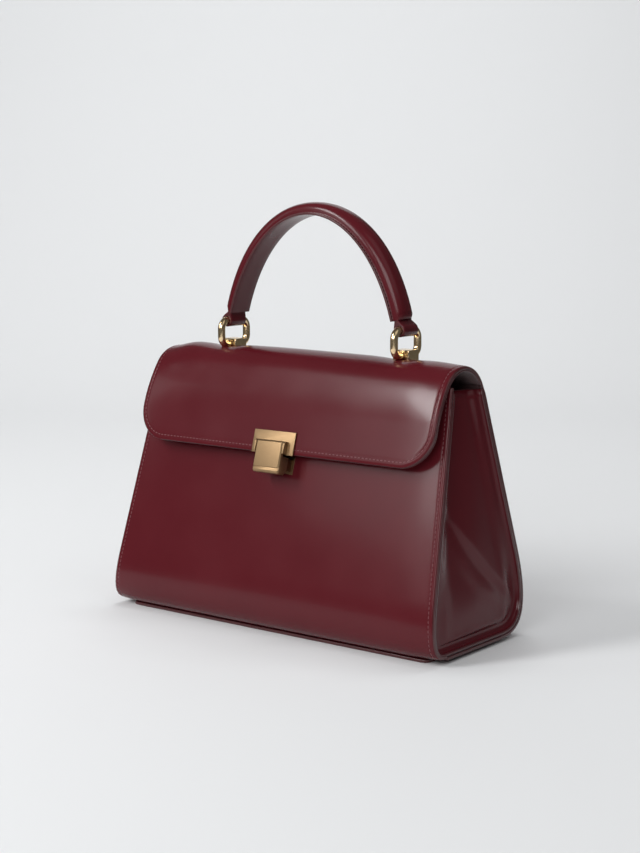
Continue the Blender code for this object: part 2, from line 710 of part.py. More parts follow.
def make_staple(word, side, flap_layers):
    """A bridge over the ring's lower bar, its two feet shaped to the dome and screwed through it."""
    clear = RING_WIRE / 2 + GAP
    crown = LOW_BAR + clear + STAPLE_CROWN
    middle = side * RING_X
    low, high = RING_SETBACK - STAPLE_DEPTH / 2, RING_SETBACK + STAPLE_DEPTH / 2
    bottom = DOME_TOP - STAPLE_DEPTH
    loops = []
    edges = ((low, STAPLE_EDGE), (low + STAPLE_EDGE, 0), (high - STAPLE_EDGE, 0), (high, STAPLE_EDGE))
    for y, inset in edges:
        half = STAPLE_WIDTH / 2 - inset
        outline = [(half, bottom)]
        level = crown - inset - STAPLE_CORNER
        outline += arc((half - STAPLE_CORNER, level), STAPLE_CORNER, 0, pi / 2, STAPLE_CORNER_STEPS)
        outline += arc((STAPLE_CORNER - half, level), STAPLE_CORNER, pi / 2, pi, STAPLE_CORNER_STEPS)
        outline.append((-half, bottom))
        loops.append([Vector((middle + x, y, z)) for x, z in outline])
    staple = loft("staple_" + word, loops, gold)
    arch = [(clear, bottom - OVERRUN), *arc((0, LOW_BAR), clear, 0, pi, ROUND_SIDES)]
    arch.append((-clear, bottom - OVERRUN))
    tunnel = [[Vector((middle + x, y, z)) for x, z in arch] for y in (low - OVERRUN, high + OVERRUN)]
    cut(staple, loft("staple_tunnel_" + word, tunnel))
    near = Vector((middle - STAPLE_WIDTH, DOME_Y, DOME_LEVEL))
    far = Vector((middle + STAPLE_WIDTH, DOME_Y, DOME_LEVEL))
    cut(staple, rod("staple_seat_" + word, near, far, DOME_RADIUS + GAP, sides=CUTTER_SIDES))

    turn = asin((RING_SETBACK - DOME_Y) / DOME_RADIUS)
    spread = BACKPLATE_MARGIN / DOME_RADIUS
    reach = STAPLE_POST_SPACING / 2 + BACKPLATE_MARGIN
    turns = [turn + spread * (1 - 2 * step / CORNER_STEPS) for step in range(CORNER_STEPS + 1)]
    loops = []
    for way in turns:
        outer = dome_point(way, DOME_RADIUS - FLAP_THICKNESS - GAP)
        inner = dome_point(way, DOME_RADIUS - FLAP_THICKNESS - GAP - BACKPLATE_THICKNESS)
        ends = ((outer, -1), (outer, 1), (inner, 1), (inner, -1))
        loops.append([Vector((middle + end * reach, *point)) for point, end in ends])
    backplate = loft("staple_backplate_" + word, loops, gold)
    surface = Vector((middle, *dome_point(turn)))
    inward = Vector((0, -sin(turn), -cos(turn)))
    name = "staple_" + word
    fixing(name, staple, flap_layers, backplate, surface, inward, STAPLE_POST_SPACING, FLAP_THICKNESS)


def arch_turn(distance):
    """The turn on the handle's elliptical arch at this distance up it from the right ring's high bar."""
    turn = asin(ARCH_SINK / ARCH_HEIGHT)
    steps = CUTTER_SIDES
    for _ in range(steps):
        turn += distance / steps / hypot(ARCH_REACH * sin(turn), ARCH_HEIGHT * cos(turn))
    return turn


def arch_frame(turn):
    """A point of the arch's centre line in X and Z, and the direction out from it."""
    out = (ARCH_HEIGHT * cos(turn), ARCH_REACH * sin(turn))
    size = hypot(*out)
    point = (ARCH_REACH * cos(turn), ARCH_LEVEL + ARCH_HEIGHT * sin(turn))
    return point, (out[0] / size, out[1] / size)


def sweep(name, section, start, look=None):
    """A section of (y, out) points carried along the arch from a distance above each high bar."""
    first = arch_turn(start)
    loops = []
    for step in range(HANDLE_STEPS + 1):
        turn = first + (pi - 2 * first) * step / HANDLE_STEPS
        (x, z), (out_x, out_z) = arch_frame(turn)
        loops.append([Vector((x + v * out_x, RING_SETBACK + u, z + v * out_z)) for u, v in section])
    return loft(name, loops, look)


def core_section(clearance):
    half = TAB_WIDTH / 2 + clearance
    deep = TAB_LEATHER + clearance
    low, high = -CORE_DEPTH - deep, -CORE_DEPTH + deep
    return [(-half, low), (half, low), (half, high), (-half, high)]


def make_handle():
    """A padded strap, flat on the hand's side and domed outside, stitched round a flat core."""
    half, inner = HANDLE_WIDTH / 2, -HANDLE_THICKNESS / 2
    section = [(-half + HANDLE_EDGE / 2, inner), (half - HANDLE_EDGE / 2, inner)]
    rise = HANDLE_THICKNESS - HANDLE_EDGE
    for step in range(SECTION_STEPS + 1):
        way = pi * step / SECTION_STEPS
        power = 2 / HANDLE_FULLNESS
        u = half * abs(cos(way)) ** power
        section.append((u if way < pi / 2 else -u, inner + HANDLE_EDGE + rise * abs(sin(way)) ** power))
    cover = sweep("handle_cover", section, TAB_SHOW, leather)
    cut(cover, sweep("handle_bore", core_section(GAP), TAB_SHOW - OVERRUN))
    sweep("handle_core", core_section(0), TAB_SHOW + TAB_INSERT + GAP, board)


def tab_outline():
    """The right tab in X and Z: a neck along the arch, and a loop round the ring's high bar."""
    centre = (RING_X, HIGH_BAR)
    radius = RING_WIRE / 2 + GAP + TAB_LEATHER
    outer, inner = [], []
    for step in range(CORNER_STEPS + 1):
        distance = TAB_SHOW + TAB_INSERT - (TAB_INSERT + GAP) * step / CORNER_STEPS
        (x, z), (out_x, out_z) = arch_frame(arch_turn(distance))
        for side, row in ((1, outer), (-1, inner)):
            reach = side * TAB_LEATHER - CORE_DEPTH
            row.append((x + reach * out_x, z + reach * out_z))
    turns = []
    for (x, z), side in ((outer[-1], -1), (inner[-1], 1)):
        away = atan2(z - centre[1], x - centre[0])
        spread = acos(radius / hypot(x - centre[0], z - centre[1]))
        turns.append(away + side * spread)
    loop = arc(centre, radius, turns[0], turns[1] - 2 * pi, ROUND_SIDES)
    return outer + loop + inner[::-1]


def make_tabs():
    half = TAB_WIDTH / 2
    for side, word in ((-1, "left"), (1, "right")):
        loops = []
        for y in (RING_SETBACK - half, RING_SETBACK + half):
            loops.append([Vector((side * x, y, z)) for x, z in tab_outline()])
        tab = loft("handle_tab_" + word, loops, leather)
        near = Vector((side * RING_X, RING_SETBACK - half - OVERRUN, HIGH_BAR))
        far = Vector((side * RING_X, RING_SETBACK + half + OVERRUN, HIGH_BAR))
        cut(tab, rod("tab_bore_" + word, near, far, RING_WIRE / 2 + GAP, sides=2 * ROUND_SIDES))


def main():
    clear_scene()
    body_layers = make_body()
    make_gussets()
    flap_layers = make_flap()
    make_lock_plate(flap_layers)
    make_hasp()
    make_keeper(body_layers)
    for side, word in ((-1, "left"), (1, "right")):
        make_ring(word, side)
        make_staple(word, side, flap_layers)
    make_handle()
    make_tabs()


main()
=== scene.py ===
# %% [markdown]
# # A top-handle day bag in smooth calf leather
# The bag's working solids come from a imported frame: panels, gussets, a flap on a hinge, a flip hasp
# over a keeper, two rings and a handle. Here each soft piece is made again as leather, with
# rounded cut edges, a little fullness and its stitches, and each metal fitting gets bright edges.
# Everything is in metres. X runs along the bag, -Y is its front and +Z is up.

import json
from contextlib import contextmanager
from math import acos, asin, atan, atan2, cos, hypot, pi, radians, sin, sqrt, tan

import bmesh
import bpy
import numpy as np
from mathutils import Matrix, Vector


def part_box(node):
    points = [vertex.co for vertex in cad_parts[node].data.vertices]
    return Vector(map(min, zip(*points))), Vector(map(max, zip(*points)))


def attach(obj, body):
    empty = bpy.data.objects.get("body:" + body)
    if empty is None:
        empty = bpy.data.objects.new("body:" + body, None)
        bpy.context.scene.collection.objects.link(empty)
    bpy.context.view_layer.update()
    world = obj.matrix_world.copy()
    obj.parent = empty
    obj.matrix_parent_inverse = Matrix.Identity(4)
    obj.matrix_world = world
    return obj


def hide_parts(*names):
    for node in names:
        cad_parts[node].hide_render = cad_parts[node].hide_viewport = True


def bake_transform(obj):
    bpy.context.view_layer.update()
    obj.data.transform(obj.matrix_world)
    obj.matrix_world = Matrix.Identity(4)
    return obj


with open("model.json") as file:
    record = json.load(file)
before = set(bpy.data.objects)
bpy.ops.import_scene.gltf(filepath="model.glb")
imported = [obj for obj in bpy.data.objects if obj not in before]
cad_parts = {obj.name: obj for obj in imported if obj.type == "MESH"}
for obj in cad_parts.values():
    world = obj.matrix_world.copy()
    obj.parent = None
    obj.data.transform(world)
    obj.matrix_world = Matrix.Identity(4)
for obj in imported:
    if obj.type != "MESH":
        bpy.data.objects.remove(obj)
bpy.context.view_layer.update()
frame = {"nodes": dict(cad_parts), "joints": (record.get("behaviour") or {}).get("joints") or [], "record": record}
nodes = frame["nodes"]
joint_places = {joint["name"]: Vector(joint["pos_m"]) for joint in frame["joints"]}

# %% [markdown]
# ## The bag in profile
# A leather bag of this kind is cut from flat sheets that bend only one way, so one line in
# profile gives nearly all of its shape: down the front, round the base, up the back, over the
# dome and down the flap. Each piece below is a stretch of that line, carried across the bag's
# width. The numbers that the frame knows are read from it, and the rest are named here.

# %% Levels and widths
front_low, front_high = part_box("front_panel")
flap_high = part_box("flap_leather")[1]
BODY_BOTTOM, MOUTH_LEVEL, BOTTOM_HALF = front_low.z, front_high.z, front_high.x
MOUTH_HALF, FLAP_HALF = 0.128, flap_high.x
BOTTOM_DEPTH, MOUTH_DEPTH = 0.1316, 0.0386
# Each lower corner: its rise up the panel and its run along the base
FRONT_CORNER, BACK_CORNER = (0.038, 0.02), (0.058, 0.041)
SEAM_TURN, GAP = 0.002, 0.0003
PANEL_THICKNESS, LINING_THICKNESS, BODY_WALL = 0.0024, 0.001, 0.0048
GUSSET_THICKNESS, GUSSET_INSET = 0.0022, 0.005
DOME_RADIUS = 0.0255
DOME_LEVEL = flap_high.z - DOME_RADIUS
SHOULDER_LEAN, FLAP_LEAN = radians(35), radians(16)
FLAP_LENGTH, FLAP_CORNER = 0.0644, 0.025
FLAP_LEATHER, FLAP_LINING = 0.0019, 0.0009
BODY_HEIGHT = MOUTH_LEVEL - BODY_BOTTOM
PANEL_LEAN = atan((BOTTOM_DEPTH - MOUTH_DEPTH) / 2 / BODY_HEIGHT)


def panel_y(level):
    """How far a panel's straight outer face stands from the middle at this level."""
    return MOUTH_DEPTH / 2 + (MOUTH_LEVEL - level) * (BOTTOM_DEPTH - MOUTH_DEPTH) / 2 / BODY_HEIGHT


def half_width(level):
    return MOUTH_HALF + (BOTTOM_HALF - MOUTH_HALF) * (MOUTH_LEVEL - level) / BODY_HEIGHT


print("mouth at", round(MOUTH_LEVEL, 4), "m, panels lean", round(PANEL_LEAN, 3), "radians")

# %% [markdown]
# The stretches are straight runs, two soft lower corners, the dome's arc and the flap's gentle
# fall. A line is read by its length from the start, as a tape is laid along leather.

# %% The outer skin as one line
DENSE = 40
TOUCH_LEVEL = DOME_LEVEL + DOME_RADIUS * sin(PANEL_LEAN)
DOME_Y = panel_y(TOUCH_LEVEL) - DOME_RADIUS * cos(PANEL_LEAN)
FRONT_TOUCH, BACK_TOUCH = SHOULDER_LEAN - pi / 2, pi / 2 - PANEL_LEAN


def pulled(t, start, sharp, end):
    """A curve from start to end, pulled towards the sharp corner between them."""
    return (1 - t) ** 2 * start + 2 * t * (1 - t) * sharp + t**2 * end


def ways_out(points, *lengths):
    """The way out at each point of a line, which is on its right hand."""
    along = np.gradient(points, *lengths, axis=0)
    along /= np.hypot(*along.T)[:, None]
    return np.stack((along[:, 1], -along[:, 0]), 1)


def lower_corner(side, rise, run):
    """A soft corner from a panel down to the base."""
    t = np.linspace(0, 1, DENSE + 1)[:, None]
    start = np.array((side * panel_y(BODY_BOTTOM + rise), BODY_BOTTOM + rise))
    sharp = np.array((side * panel_y(BODY_BOTTOM), BODY_BOTTOM))
    end = np.array((side * (panel_y(BODY_BOTTOM) - run), BODY_BOTTOM))
    return pulled(t, start, sharp, end)


def straight(start, end):
    return np.linspace(start, end, DENSE + 1)


def dome_arc():
    turn = np.linspace(BACK_TOUCH, FRONT_TOUCH, 2 * DENSE + 1)
    y, z = DOME_Y + DOME_RADIUS * np.sin(turn), DOME_LEVEL + DOME_RADIUS * np.cos(turn)
    return np.stack((y, z), 1)


def flap_fall():
    """From the dome down the flap's gentle curve, and on down its flat lower stretch."""
    shoulder = dome_arc()[-1]
    drop = shoulder[1] - flap_high.z + FLAP_LENGTH - FLAP_CORNER * cos(FLAP_LEAN)
    radius = drop / (sin(SHOULDER_LEAN) - sin(FLAP_LEAN))
    lean = np.linspace(SHOULDER_LEAN, FLAP_LEAN, 2 * DENSE + 1)
    turned = (cos(SHOULDER_LEAN) - np.cos(lean), np.sin(lean) - sin(SHOULDER_LEAN))
    curve = shoulder + radius * np.stack(turned, 1)
    down = np.array((sin(FLAP_LEAN), cos(FLAP_LEAN)))
    return curve, straight(curve[-1], curve[-1] - FLAP_CORNER * down)


class Line:
    """A smooth line in the plane of Y and Z, read by its length from the start."""

    def __init__(self, *stretches):
        points = np.concatenate([np.asarray(part, float).reshape(-1, 2) for part in stretches])
        keep = np.r_[True, np.hypot(*np.diff(points, axis=0).T) > GAP / 10]
        self.points = points[keep]
        self.lengths = np.r_[0, np.cumsum(np.hypot(*np.diff(self.points, axis=0).T))]
        self.length = self.lengths[-1]
        self.out = ways_out(self.points, self.lengths)

    def at(self, s, depth=0.0):
        """(y, z) at these lengths, moved inwards by depth, and the way out there."""
        out, place = (
            np.stack([np.interp(s, self.lengths, table[:, k]) for k in (0, 1)], -1)
            for table in (self.out, self.points)
        )
        out /= np.linalg.norm(out, axis=-1, keepdims=True)
        return place - out * np.asarray(depth)[..., None], out

    def length_to(self, y, z):
        """The length at which the line passes nearest to a point."""
        away = np.hypot(self.points[:, 0] - y, self.points[:, 1] - z)
        return float(self.lengths[np.argmin(away)])


front_corner = lower_corner(-1, *FRONT_CORNER)
back_corner = lower_corner(1, *BACK_CORNER)
seam_front = (front_corner[-1][0] + SEAM_TURN, BODY_BOTTOM)
seam_back = (back_corner[-1][0] - SEAM_TURN, BODY_BOTTOM)
down_front = straight((-panel_y(MOUTH_LEVEL), MOUTH_LEVEL), front_corner[0])
front_line = Line(down_front, front_corner, [seam_front])
up_back = straight(back_corner[0], (panel_y(TOUCH_LEVEL), TOUCH_LEVEL))
over_line = Line([seam_back], back_corner[::-1], up_back, dome_arc(), *flap_fall())
hinge = joint_places["flap_hinge"]
HINGE_LENGTH = over_line.length_to(hinge.y, hinge.z)
print("front", round(front_line.length, 4), "m, back and flap", round(over_line.length, 4), "m")

# %% [markdown]
# ## Shared effects as node groups
# Box calf is nearly smooth: close up it has fine hair cells, and from further off slight
# differences in shine where it was handled. Metal shows the same kind of handling. Each effect is
# one group with named sockets, so every material uses it with its own sizes.

# %% Helpers for nodes


def maker(tree, family):
    """Gives a function that adds nodes to a tree, by the last part of their type's name.

    Values fill a node's sockets in order, or by name with a capital. Small names are settings.
    """

    def add(kind, *values, **named):
        made = tree.nodes.new(family + kind)
        sockets = dict(enumerate(values))
        for key, value in named.items():
            if key[0].isupper():
                sockets[key.replace("_", " ")] = value
            else:
                setattr(made, key, value)
        for socket, value in sockets.items():
            if isinstance(value, bpy.types.Node):
                value = value.outputs[0]
            if isinstance(value, bpy.types.NodeSocket):
                tree.links.new(value, made.inputs[socket])
            elif value is not None:
                made.inputs[socket].default_value = value
        return made

    return add


def new_group(name, family, given, made):
    """An empty node group. Each socket has its plain value, or the name of its type."""
    tree = bpy.data.node_groups.new(name, family + "NodeTree")
    for way, sockets in (("INPUT", given), ("OUTPUT", made)):
        for label, value in sockets.items():
            named = isinstance(value, str)
            sort = "NodeSocket" + (value if named else type(value).__name__.capitalize())
            label = label.replace("_", " ")
            socket = tree.interface.new_socket(label, in_out=way, socket_type=sort)
            if not named:
                socket.default_value = value
    given = [socket for socket in tree.nodes.new("NodeGroupInput").outputs if socket.name]
    return tree, maker(tree, family + "Node"), maker(tree, "ShaderNode"), given


print("sockets are filled in order or by name")

# %% The two groups
WANDER, WANDER_SCALE, SLOW_SHARE, SLOW_SCALE = 0.0008, 400.0, 0.6, 900.0
STREAK_SHAPE, STREAK_SCALE = (60.0, 60.0, 900.0), 3.0


def make_grain():
    sizes = dict(Place="Vector", Cell=0.0006, Softness=0.25)
    masks = dict(Height="Float", Pores="Float")
    tree, add, _, (place, cell, softness) = new_group("hair_cell_grain", "Shader", sizes, masks)
    wander = add("TexNoise", Vector=place, Scale=WANDER_SCALE, Detail=2.0)
    shift = add("VectorMath", wander.outputs["Color"], Scale=WANDER, operation="SCALE")
    scale = add("Math", 1.0, cell, operation="DIVIDE")
    moved = add("VectorMath", place, shift)
    cells = add("TexVoronoi", Vector=moved, Scale=scale, feature="DISTANCE_TO_EDGE")
    rise = add("MapRange", cells, From_Max=softness, interpolation_type="SMOOTHSTEP")
    slow = add("TexNoise", Vector=place, Scale=SLOW_SCALE, Detail=3.0)
    total = add("Math", slow, SLOW_SHARE, rise, operation="MULTIPLY_ADD")
    pores = add("Math", 1.0, rise, operation="SUBTRACT")
    maker(tree, "NodeGroup")("Output", total, pores)
    return tree


def make_handling():
    sizes = dict(Place="Vector", Patch=0.03, Streaks=0.3)
    tree, add, _, given = new_group("handling", "Shader", sizes, dict(Shine="Float"))
    place, patch, streaks = given
    scale = add("Math", 1.0, patch, operation="DIVIDE")
    patches = add("TexNoise", Vector=place, Scale=scale, Detail=4.0)
    stretch = add("Mapping", place, Scale=STREAK_SHAPE)
    fine = add("TexNoise", Vector=stretch, Scale=STREAK_SCALE, Detail=2.0)
    maker(tree, "NodeGroup")("Output", add("Mix", streaks, None, patches, fine))
    return tree


grain_group, handling_group = make_grain(), make_handling()
print("groups:", grain_group.name, handling_group.name)

# %% [markdown]
# ## Leather, thread, lining and board
# The burgundy is a dye that goes into the leather, under a clear finish. So the colour is deep
# and varies slowly, the finish adds a thin sharp shine as a coat, and the grain is only a bump.
# Cut edges are painted: smoother, a shade greyer and with a coarser grain.

# %% Soft materials
SHINE_LOW, SHINE_HIGH = 0.3, 0.7
PORE_SHARE, PORE_DARK, METAL_BUMP = 0.08, 0.55, 0.5
SOFT_PATCH, RUBBED = 0.035, 0.9


def new_material(name):
    made = bpy.data.materials.new(name)
    made.use_nodes = True
    tree = made.node_tree
    add, shader = maker(tree, "ShaderNode"), tree.nodes["Principled BSDF"]
    return made, add, shader, add("TexCoord").outputs["Object"]


def mixed(add, share, first, second):
    """Two colours mixed. They are a Mix node's seventh and eighth sockets."""
    return add("Mix", share, *[None] * 5, first, second, data_type="RGBA").outputs[2]


def set_constants(shader, **constants):
    for label, value in constants.items():
        shader.inputs[label.replace("_", " ")].default_value = value


def surface(name, first, second, rough, relief, cell=None, patch=SOFT_PATCH, streaks=0.0, **fixed):
    """A material whose colour and roughness follow the handling. A cell size gives it grain."""
    made, add, shader, place = new_material(name)
    shine = add("Group", node_tree=handling_group, Place=place, Patch=patch, Streaks=streaks)
    colour = mixed(add, shine, (*first, 1), (*second, 1))
    height, strength = shine, METAL_BUMP
    if cell:
        grain = add("Group", node_tree=grain_group, Place=place, Cell=cell)
        mask = add("Math", grain.outputs["Pores"], PORE_SHARE, operation="MULTIPLY")
        colour = mixed(add, mask, colour, (*[part * PORE_DARK for part in first], 1))
        height, strength = grain, 1.0
    spread = add("MapRange", shine, SHINE_LOW, SHINE_HIGH, *rough)
    bump = add("Bump", Strength=strength, Distance=relief, Height=height)
    values = {"Base Color": colour, "Roughness": spread.outputs[0]}
    for label, value in {**values, "Normal": bump.outputs[0]}.items():
        made.node_tree.links.new(value, shader.inputs[label])
    set_constants(shader, **fixed)
    return made


CALF_DEEP, CALF_LIGHT = (0.082, 0.007, 0.0112), (0.1, 0.0092, 0.0142)
EDGE_DEEP, EDGE_LIGHT = (0.06, 0.01, 0.012), (0.085, 0.017, 0.02)
THREAD_DEEP, THREAD_LIGHT = (0.15, 0.03, 0.036), (0.2, 0.052, 0.06)
SUEDE_DEEP, SUEDE_LIGHT = (0.045, 0.008, 0.01), (0.075, 0.014, 0.017)
BOARD_DEEP, BOARD_LIGHT = (0.3, 0.22, 0.14), (0.42, 0.33, 0.23)
finish = dict(Coat_Weight=0.15, Coat_Roughness=0.12, Specular_IOR_Level=0.2)
calf = surface("burgundy_calf", CALF_DEEP, CALF_LIGHT, (0.21, 0.27), 0.0000025, 0.0005, **finish)
paint = dict(Coat_Weight=0.3, Coat_Roughness=0.2)
edge_paint = surface("painted_edge", EDGE_DEEP, EDGE_LIGHT, (0.25, 0.38), 0.00001, 0.0012, **paint)
waxed, soft = dict(Sheen_Weight=0.2), dict(Sheen_Weight=0.4)
thread = surface("waxed_thread", THREAD_DEEP, THREAD_LIGHT, (0.45, 0.6), 0.00003, 0.0002, **waxed)
suede = surface("suede_lining", SUEDE_DEEP, SUEDE_LIGHT, (0.85, 0.95), 0.00005, 0.0003, **soft)
fibre_board = surface("fibre_board", BOARD_DEEP, BOARD_LIGHT, (0.8, 0.95), 0.00004, 0.0008)
print("soft:", [look.name for look in (calf, edge_paint, thread, suede, fibre_board)])

# %% [markdown]
# ## Gold-plated fittings
# The rings and staples are polished. The plate and the hasp have a satin finish, which spreads
# the light, and their darker colour is painted shade. Fine streaks and handling only change how
# sharp the reflections are. The keeper under the hasp is a browner, darker gold: painted shade.

# %% Metal materials


def metal_material(name, colour, rough, patch, streaks, relief):
    rubbed = tuple(part * RUBBED for part in colour)
    return surface(name, colour, rubbed, rough, relief, None, patch, streaks, Metallic=1.0)


# The satin colour is much darker than the gold: painted shade.
GOLD, SATIN_PAINTED_SHADE, STEEL = (0.93, 0.7, 0.42), (0.37, 0.245, 0.132), (0.55, 0.54, 0.52)
# The keeper's dark brown gold is painted shade.
SHADE_PAINTED_GOLD = (0.24, 0.145, 0.075)
polished_gold = metal_material("polished_gold", GOLD, (0.14, 0.21), 0.004, 0.2, 0.000002)
satin_gold_painted_shade = metal_material("satin_gold_painted_shade", SATIN_PAINTED_SHADE, (0.46, 0.54), 0.006, 0.6, 0.000004)
painted_shade_gold = metal_material("painted_shade_gold", SHADE_PAINTED_GOLD, (0.34, 0.44), 0.006, 0.6, 0.000004)
spring_steel = metal_material("spring_steel", STEEL, (0.3, 0.45), 0.005, 0.5, 0.000004)
print("metals:", [look.name for look in (polished_gold, satin_gold_painted_shade, painted_shade_gold, spring_steel)])

# %% [markdown]
# ## Making a leather sheet
# A sheet has an outer face, a cut edge that is rounded and painted, and an inner face. The outer
# face is a grid: rows follow the profile, and columns cross the bag, close together where a
# stitch line presses the leather down. The edge runs round the grid's border.

# %% Objects and meshes
SIDES = (("left", -1), ("right", 1))
EDGE_STEPS, EDGE_RADIUS, THIN_RADIUS = 3, 0.0006, 0.0003
# A quarter of a round edge: how far in from the side, and how deep, as shares of its radius
ROUNDING = [(1 - sin(turn), 1 - cos(turn)) for turn in np.linspace(0, pi / 2, EDGE_STEPS + 1)]


def add_object(name, data):
    made = bpy.data.objects.new(name, data)
    bpy.context.scene.collection.objects.link(made)
    return made


def faces_of(piece):
    return len(piece.data.polygons)


def finish_object(name, mesh, looks, body=None):
    """Links a finished mesh with its materials, smooth, at the origin, and rides it on a body."""
    made = add_object(name, mesh)
    for look in looks:
        if look.name not in [slot.name for slot in mesh.materials if slot]:
            mesh.materials.append(look)
    for face in mesh.polygons:
        if face.material_index >= len(mesh.materials):
            face.material_index = 0
    mesh.shade_smooth()
    if body:
        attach(made, body)
    return made


@contextmanager
def edited(mesh):
    """A mesh opened for changes to its points and faces."""
    shape = bmesh.new()
    shape.from_mesh(mesh)
    yield shape
    shape.to_mesh(mesh)
    shape.free()


def outwards(mesh, side=0):
    """The mesh with its faces turned outwards, and an open one's towards its side of the bag."""
    with edited(mesh) as shape:
        bmesh.ops.recalc_face_normals(shape, faces=shape.faces[:])
        if side and sum(face.normal.x * face.calc_area() for face in shape.faces) * side < 0:
            bmesh.ops.reverse_faces(shape, faces=shape.faces[:])
    return mesh


def mesh_from(name, points, faces, face_looks, side=0):
    mesh = bpy.data.meshes.new(name)
    mesh.from_pydata([tuple(p) for p in points], [], faces)
    mesh.polygons.foreach_set("material_index", face_looks)
    return outwards(mesh, side)


def loop_mesh(name, points):
    """A closed path or section as loose edges."""
    mesh = bpy.data.meshes.new(name)
    count = len(points)
    mesh.from_pydata(points, [(k, (k + 1) % count) for k in range(count)], [])
    return mesh


def band(first, second):
    """The faces between two closed loops of points."""
    return list(zip(first, first[1:] + first[:1], second[1:] + second[:1], second))


def numbers(start, count):
    return list(range(start, start + count))


def modified(name, mesh, kind, inputs=None, **settings):
    """The plain mesh that one modifier makes from this one. Inputs are a node tree's, by name."""
    holder = add_object(name, mesh)
    step = holder.modifiers.new(kind.lower(), kind)
    for key, value in settings.items():
        setattr(step, key, value)
    for item in step.node_group.interface.items_tree if inputs else ():
        if item.name in inputs and item.in_out == "INPUT":
            step[item.identifier] = inputs[item.name]
    graph = bpy.context.evaluated_depsgraph_get()
    made = bpy.data.meshes.new_from_object(holder.evaluated_get(graph))
    bpy.data.objects.remove(holder)
    made.name = name
    return made


COVER_LOOKS, SUEDE_LOOKS = (calf, edge_paint), (suede, edge_paint)
LEATHER_LOOKS = (*COVER_LOOKS, suede)
print("edges are rounded in", EDGE_STEPS, "steps a side")

# %% [markdown]
# The border is walked once round. Each of its points knows the neighbour inside the grid, and so
# which way the cut edge faces.

# %% Grid, edge and inner face


def spaced(length, edge, step):
    """Distances along a length: as listed from each end, and about a step apart between."""
    edge = np.asarray(edge)
    inner = length - 2 * edge[-1]
    count = max(int(round(inner / step)), 1)
    middle = np.linspace(edge[-1], length - edge[-1], count + 1)[1:-1]
    return np.concatenate((edge, middle, length - edge[::-1]))


def border_of(rows, cols):
    """Indices round a grid's border, and for each the neighbour inside the grid."""
    loop = [(0, c) for c in range(cols)] + [(r, cols - 1) for r in range(1, rows)]
    loop += [(rows - 1, c) for c in range(cols - 2, -1, -1)]
    loop += [(r, 0) for r in range(rows - 2, 0, -1)]
    inside = [(min(max(r, 1), rows - 2), min(max(c, 1), cols - 2)) for r, c in loop]
    return [r * cols + c for r, c in loop], [r * cols + c for r, c in inside]


def leather_sheet(name, outer, out, thickness, radius):
    """A closed sheet from a grid of outer points and the way out at each: (rows, columns, 3)."""
    rows, cols = outer.shape[:2]
    flat, ways = outer.reshape(-1, 3).copy(), out.reshape(-1, 3)
    thick = np.broadcast_to(np.asarray(thickness, float).reshape(-1, 1), (rows * cols, 1))
    loop, inside = border_of(rows, cols)
    rim, normal = flat[loop], ways[loop]
    along = np.roll(rim, -1, 0) - np.roll(rim, 1, 0)
    side = np.cross(along, normal)
    side /= np.linalg.norm(side, axis=1, keepdims=True)
    side *= np.sign(np.sum(side * (rim - flat[inside]), 1))[:, None]
    flat[loop] = rim - side * radius
    inner = flat - ways * thick
    rings = [rim - side * radius * a - normal * radius * b for a, b in ROUNDING[1:]]
    for a, b in ROUNDING[:0:-1]:
        rings.append(rim - side * radius * a - normal * (thick[loop] - radius * b))
    size, rim_size = rows * cols, len(loop)
    last = size + len(rings) * rim_size
    faces, looks = [], [0, 2] * (rows - 1) * (cols - 1)
    for a in [row * cols + col for row in range(rows - 1) for col in range(cols - 1)]:
        b, c, d = a + 1, a + cols + 1, a + cols
        faces += [(a, b, c, d), (last + a, last + d, last + c, last + b)]
    chain = [loop] + [numbers(size + k * rim_size, rim_size) for k in range(len(rings))]
    chain.append([last + index for index in loop])
    for first, second in zip(chain, chain[1:]):
        faces += band(first, second)
        looks += [1] * rim_size
    return mesh_from(name, np.concatenate([flat, *rings, inner]), faces, looks)


def sheet(name, grid, thickness, radius=THIN_RADIUS, looks=SUEDE_LOOKS, body="bag"):
    """A leather or suede sheet as a finished object on its body."""
    return finish_object(name, leather_sheet(name, *grid, thickness, radius), looks, body)


print("border of a grid of 3 by 3:", border_of(3, 3)[0])

# %% [markdown]
# ## Front panel
# The front is one sheet, a little full in the middle. It is sewn to the gussets close to its
# side edges, and each seam draws the leather down in a shallow line.

# %% Seams and edges
STITCH_INSET = 0.0036
SEAM_WIDTH, SEAM_DEPTH, EDGE_ROLL = 0.0007, 0.00022, 0.0004
SIDE_ROLL, SIDE_ROLL_WIDTH = 0.001, 0.03
# Millimetres from an edge at which a grid has its lines
SIDE_PLACES = (0, 0.6, 1.4, 2.2, 2.8, 3.2, 3.6, 4, 4.4, 5, 6, 8, 11, 15)
SIDE_PLACES = tuple(round(place / 1000, 4) for place in SIDE_PLACES)
END_PLACES = (0, 0.0008, 0.002, 0.004)
CELL = 0.004
FULL_POWER, FULL_SPREAD = 1.5, 1.2


def smooth_step(value):
    value = np.clip(value, 0, 1)
    return value * value * (3 - 2 * value)


def drawn_down(distance):
    """How far the leather sinks at a distance from its sewn edge."""
    seam = SEAM_DEPTH * np.exp(-(((distance - STITCH_INSET) / SEAM_WIDTH) ** 2))
    roll = EDGE_ROLL * (1 - smooth_step(distance / STITCH_INSET)) ** 2
    return seam + roll


def rolled_back(distance):
    """A firm sheet relaxes towards its free edges, so it falls back a little there."""
    return SIDE_ROLL * (1 - np.clip(distance / SIDE_ROLL_WIDTH, 0, 1)) ** 2


def fullness(most, share, across):
    """A panel's soft rise, from none at its ends and sides to the most in the middle."""
    rise = most * np.sin(pi * np.clip(share, 0, 1)) ** FULL_POWER
    return rise * (1 - across**2) ** FULL_SPREAD


def lifted(x, place, out, rise=0.0):
    """Points across the bag, raised from a line in profile, and the way out at each."""
    y, z = place[..., 0] + out[..., 0] * rise, place[..., 1] + out[..., 1] * rise
    return np.stack((x, y, z), -1), np.stack((np.zeros_like(x), out[..., 0], out[..., 1]), -1)


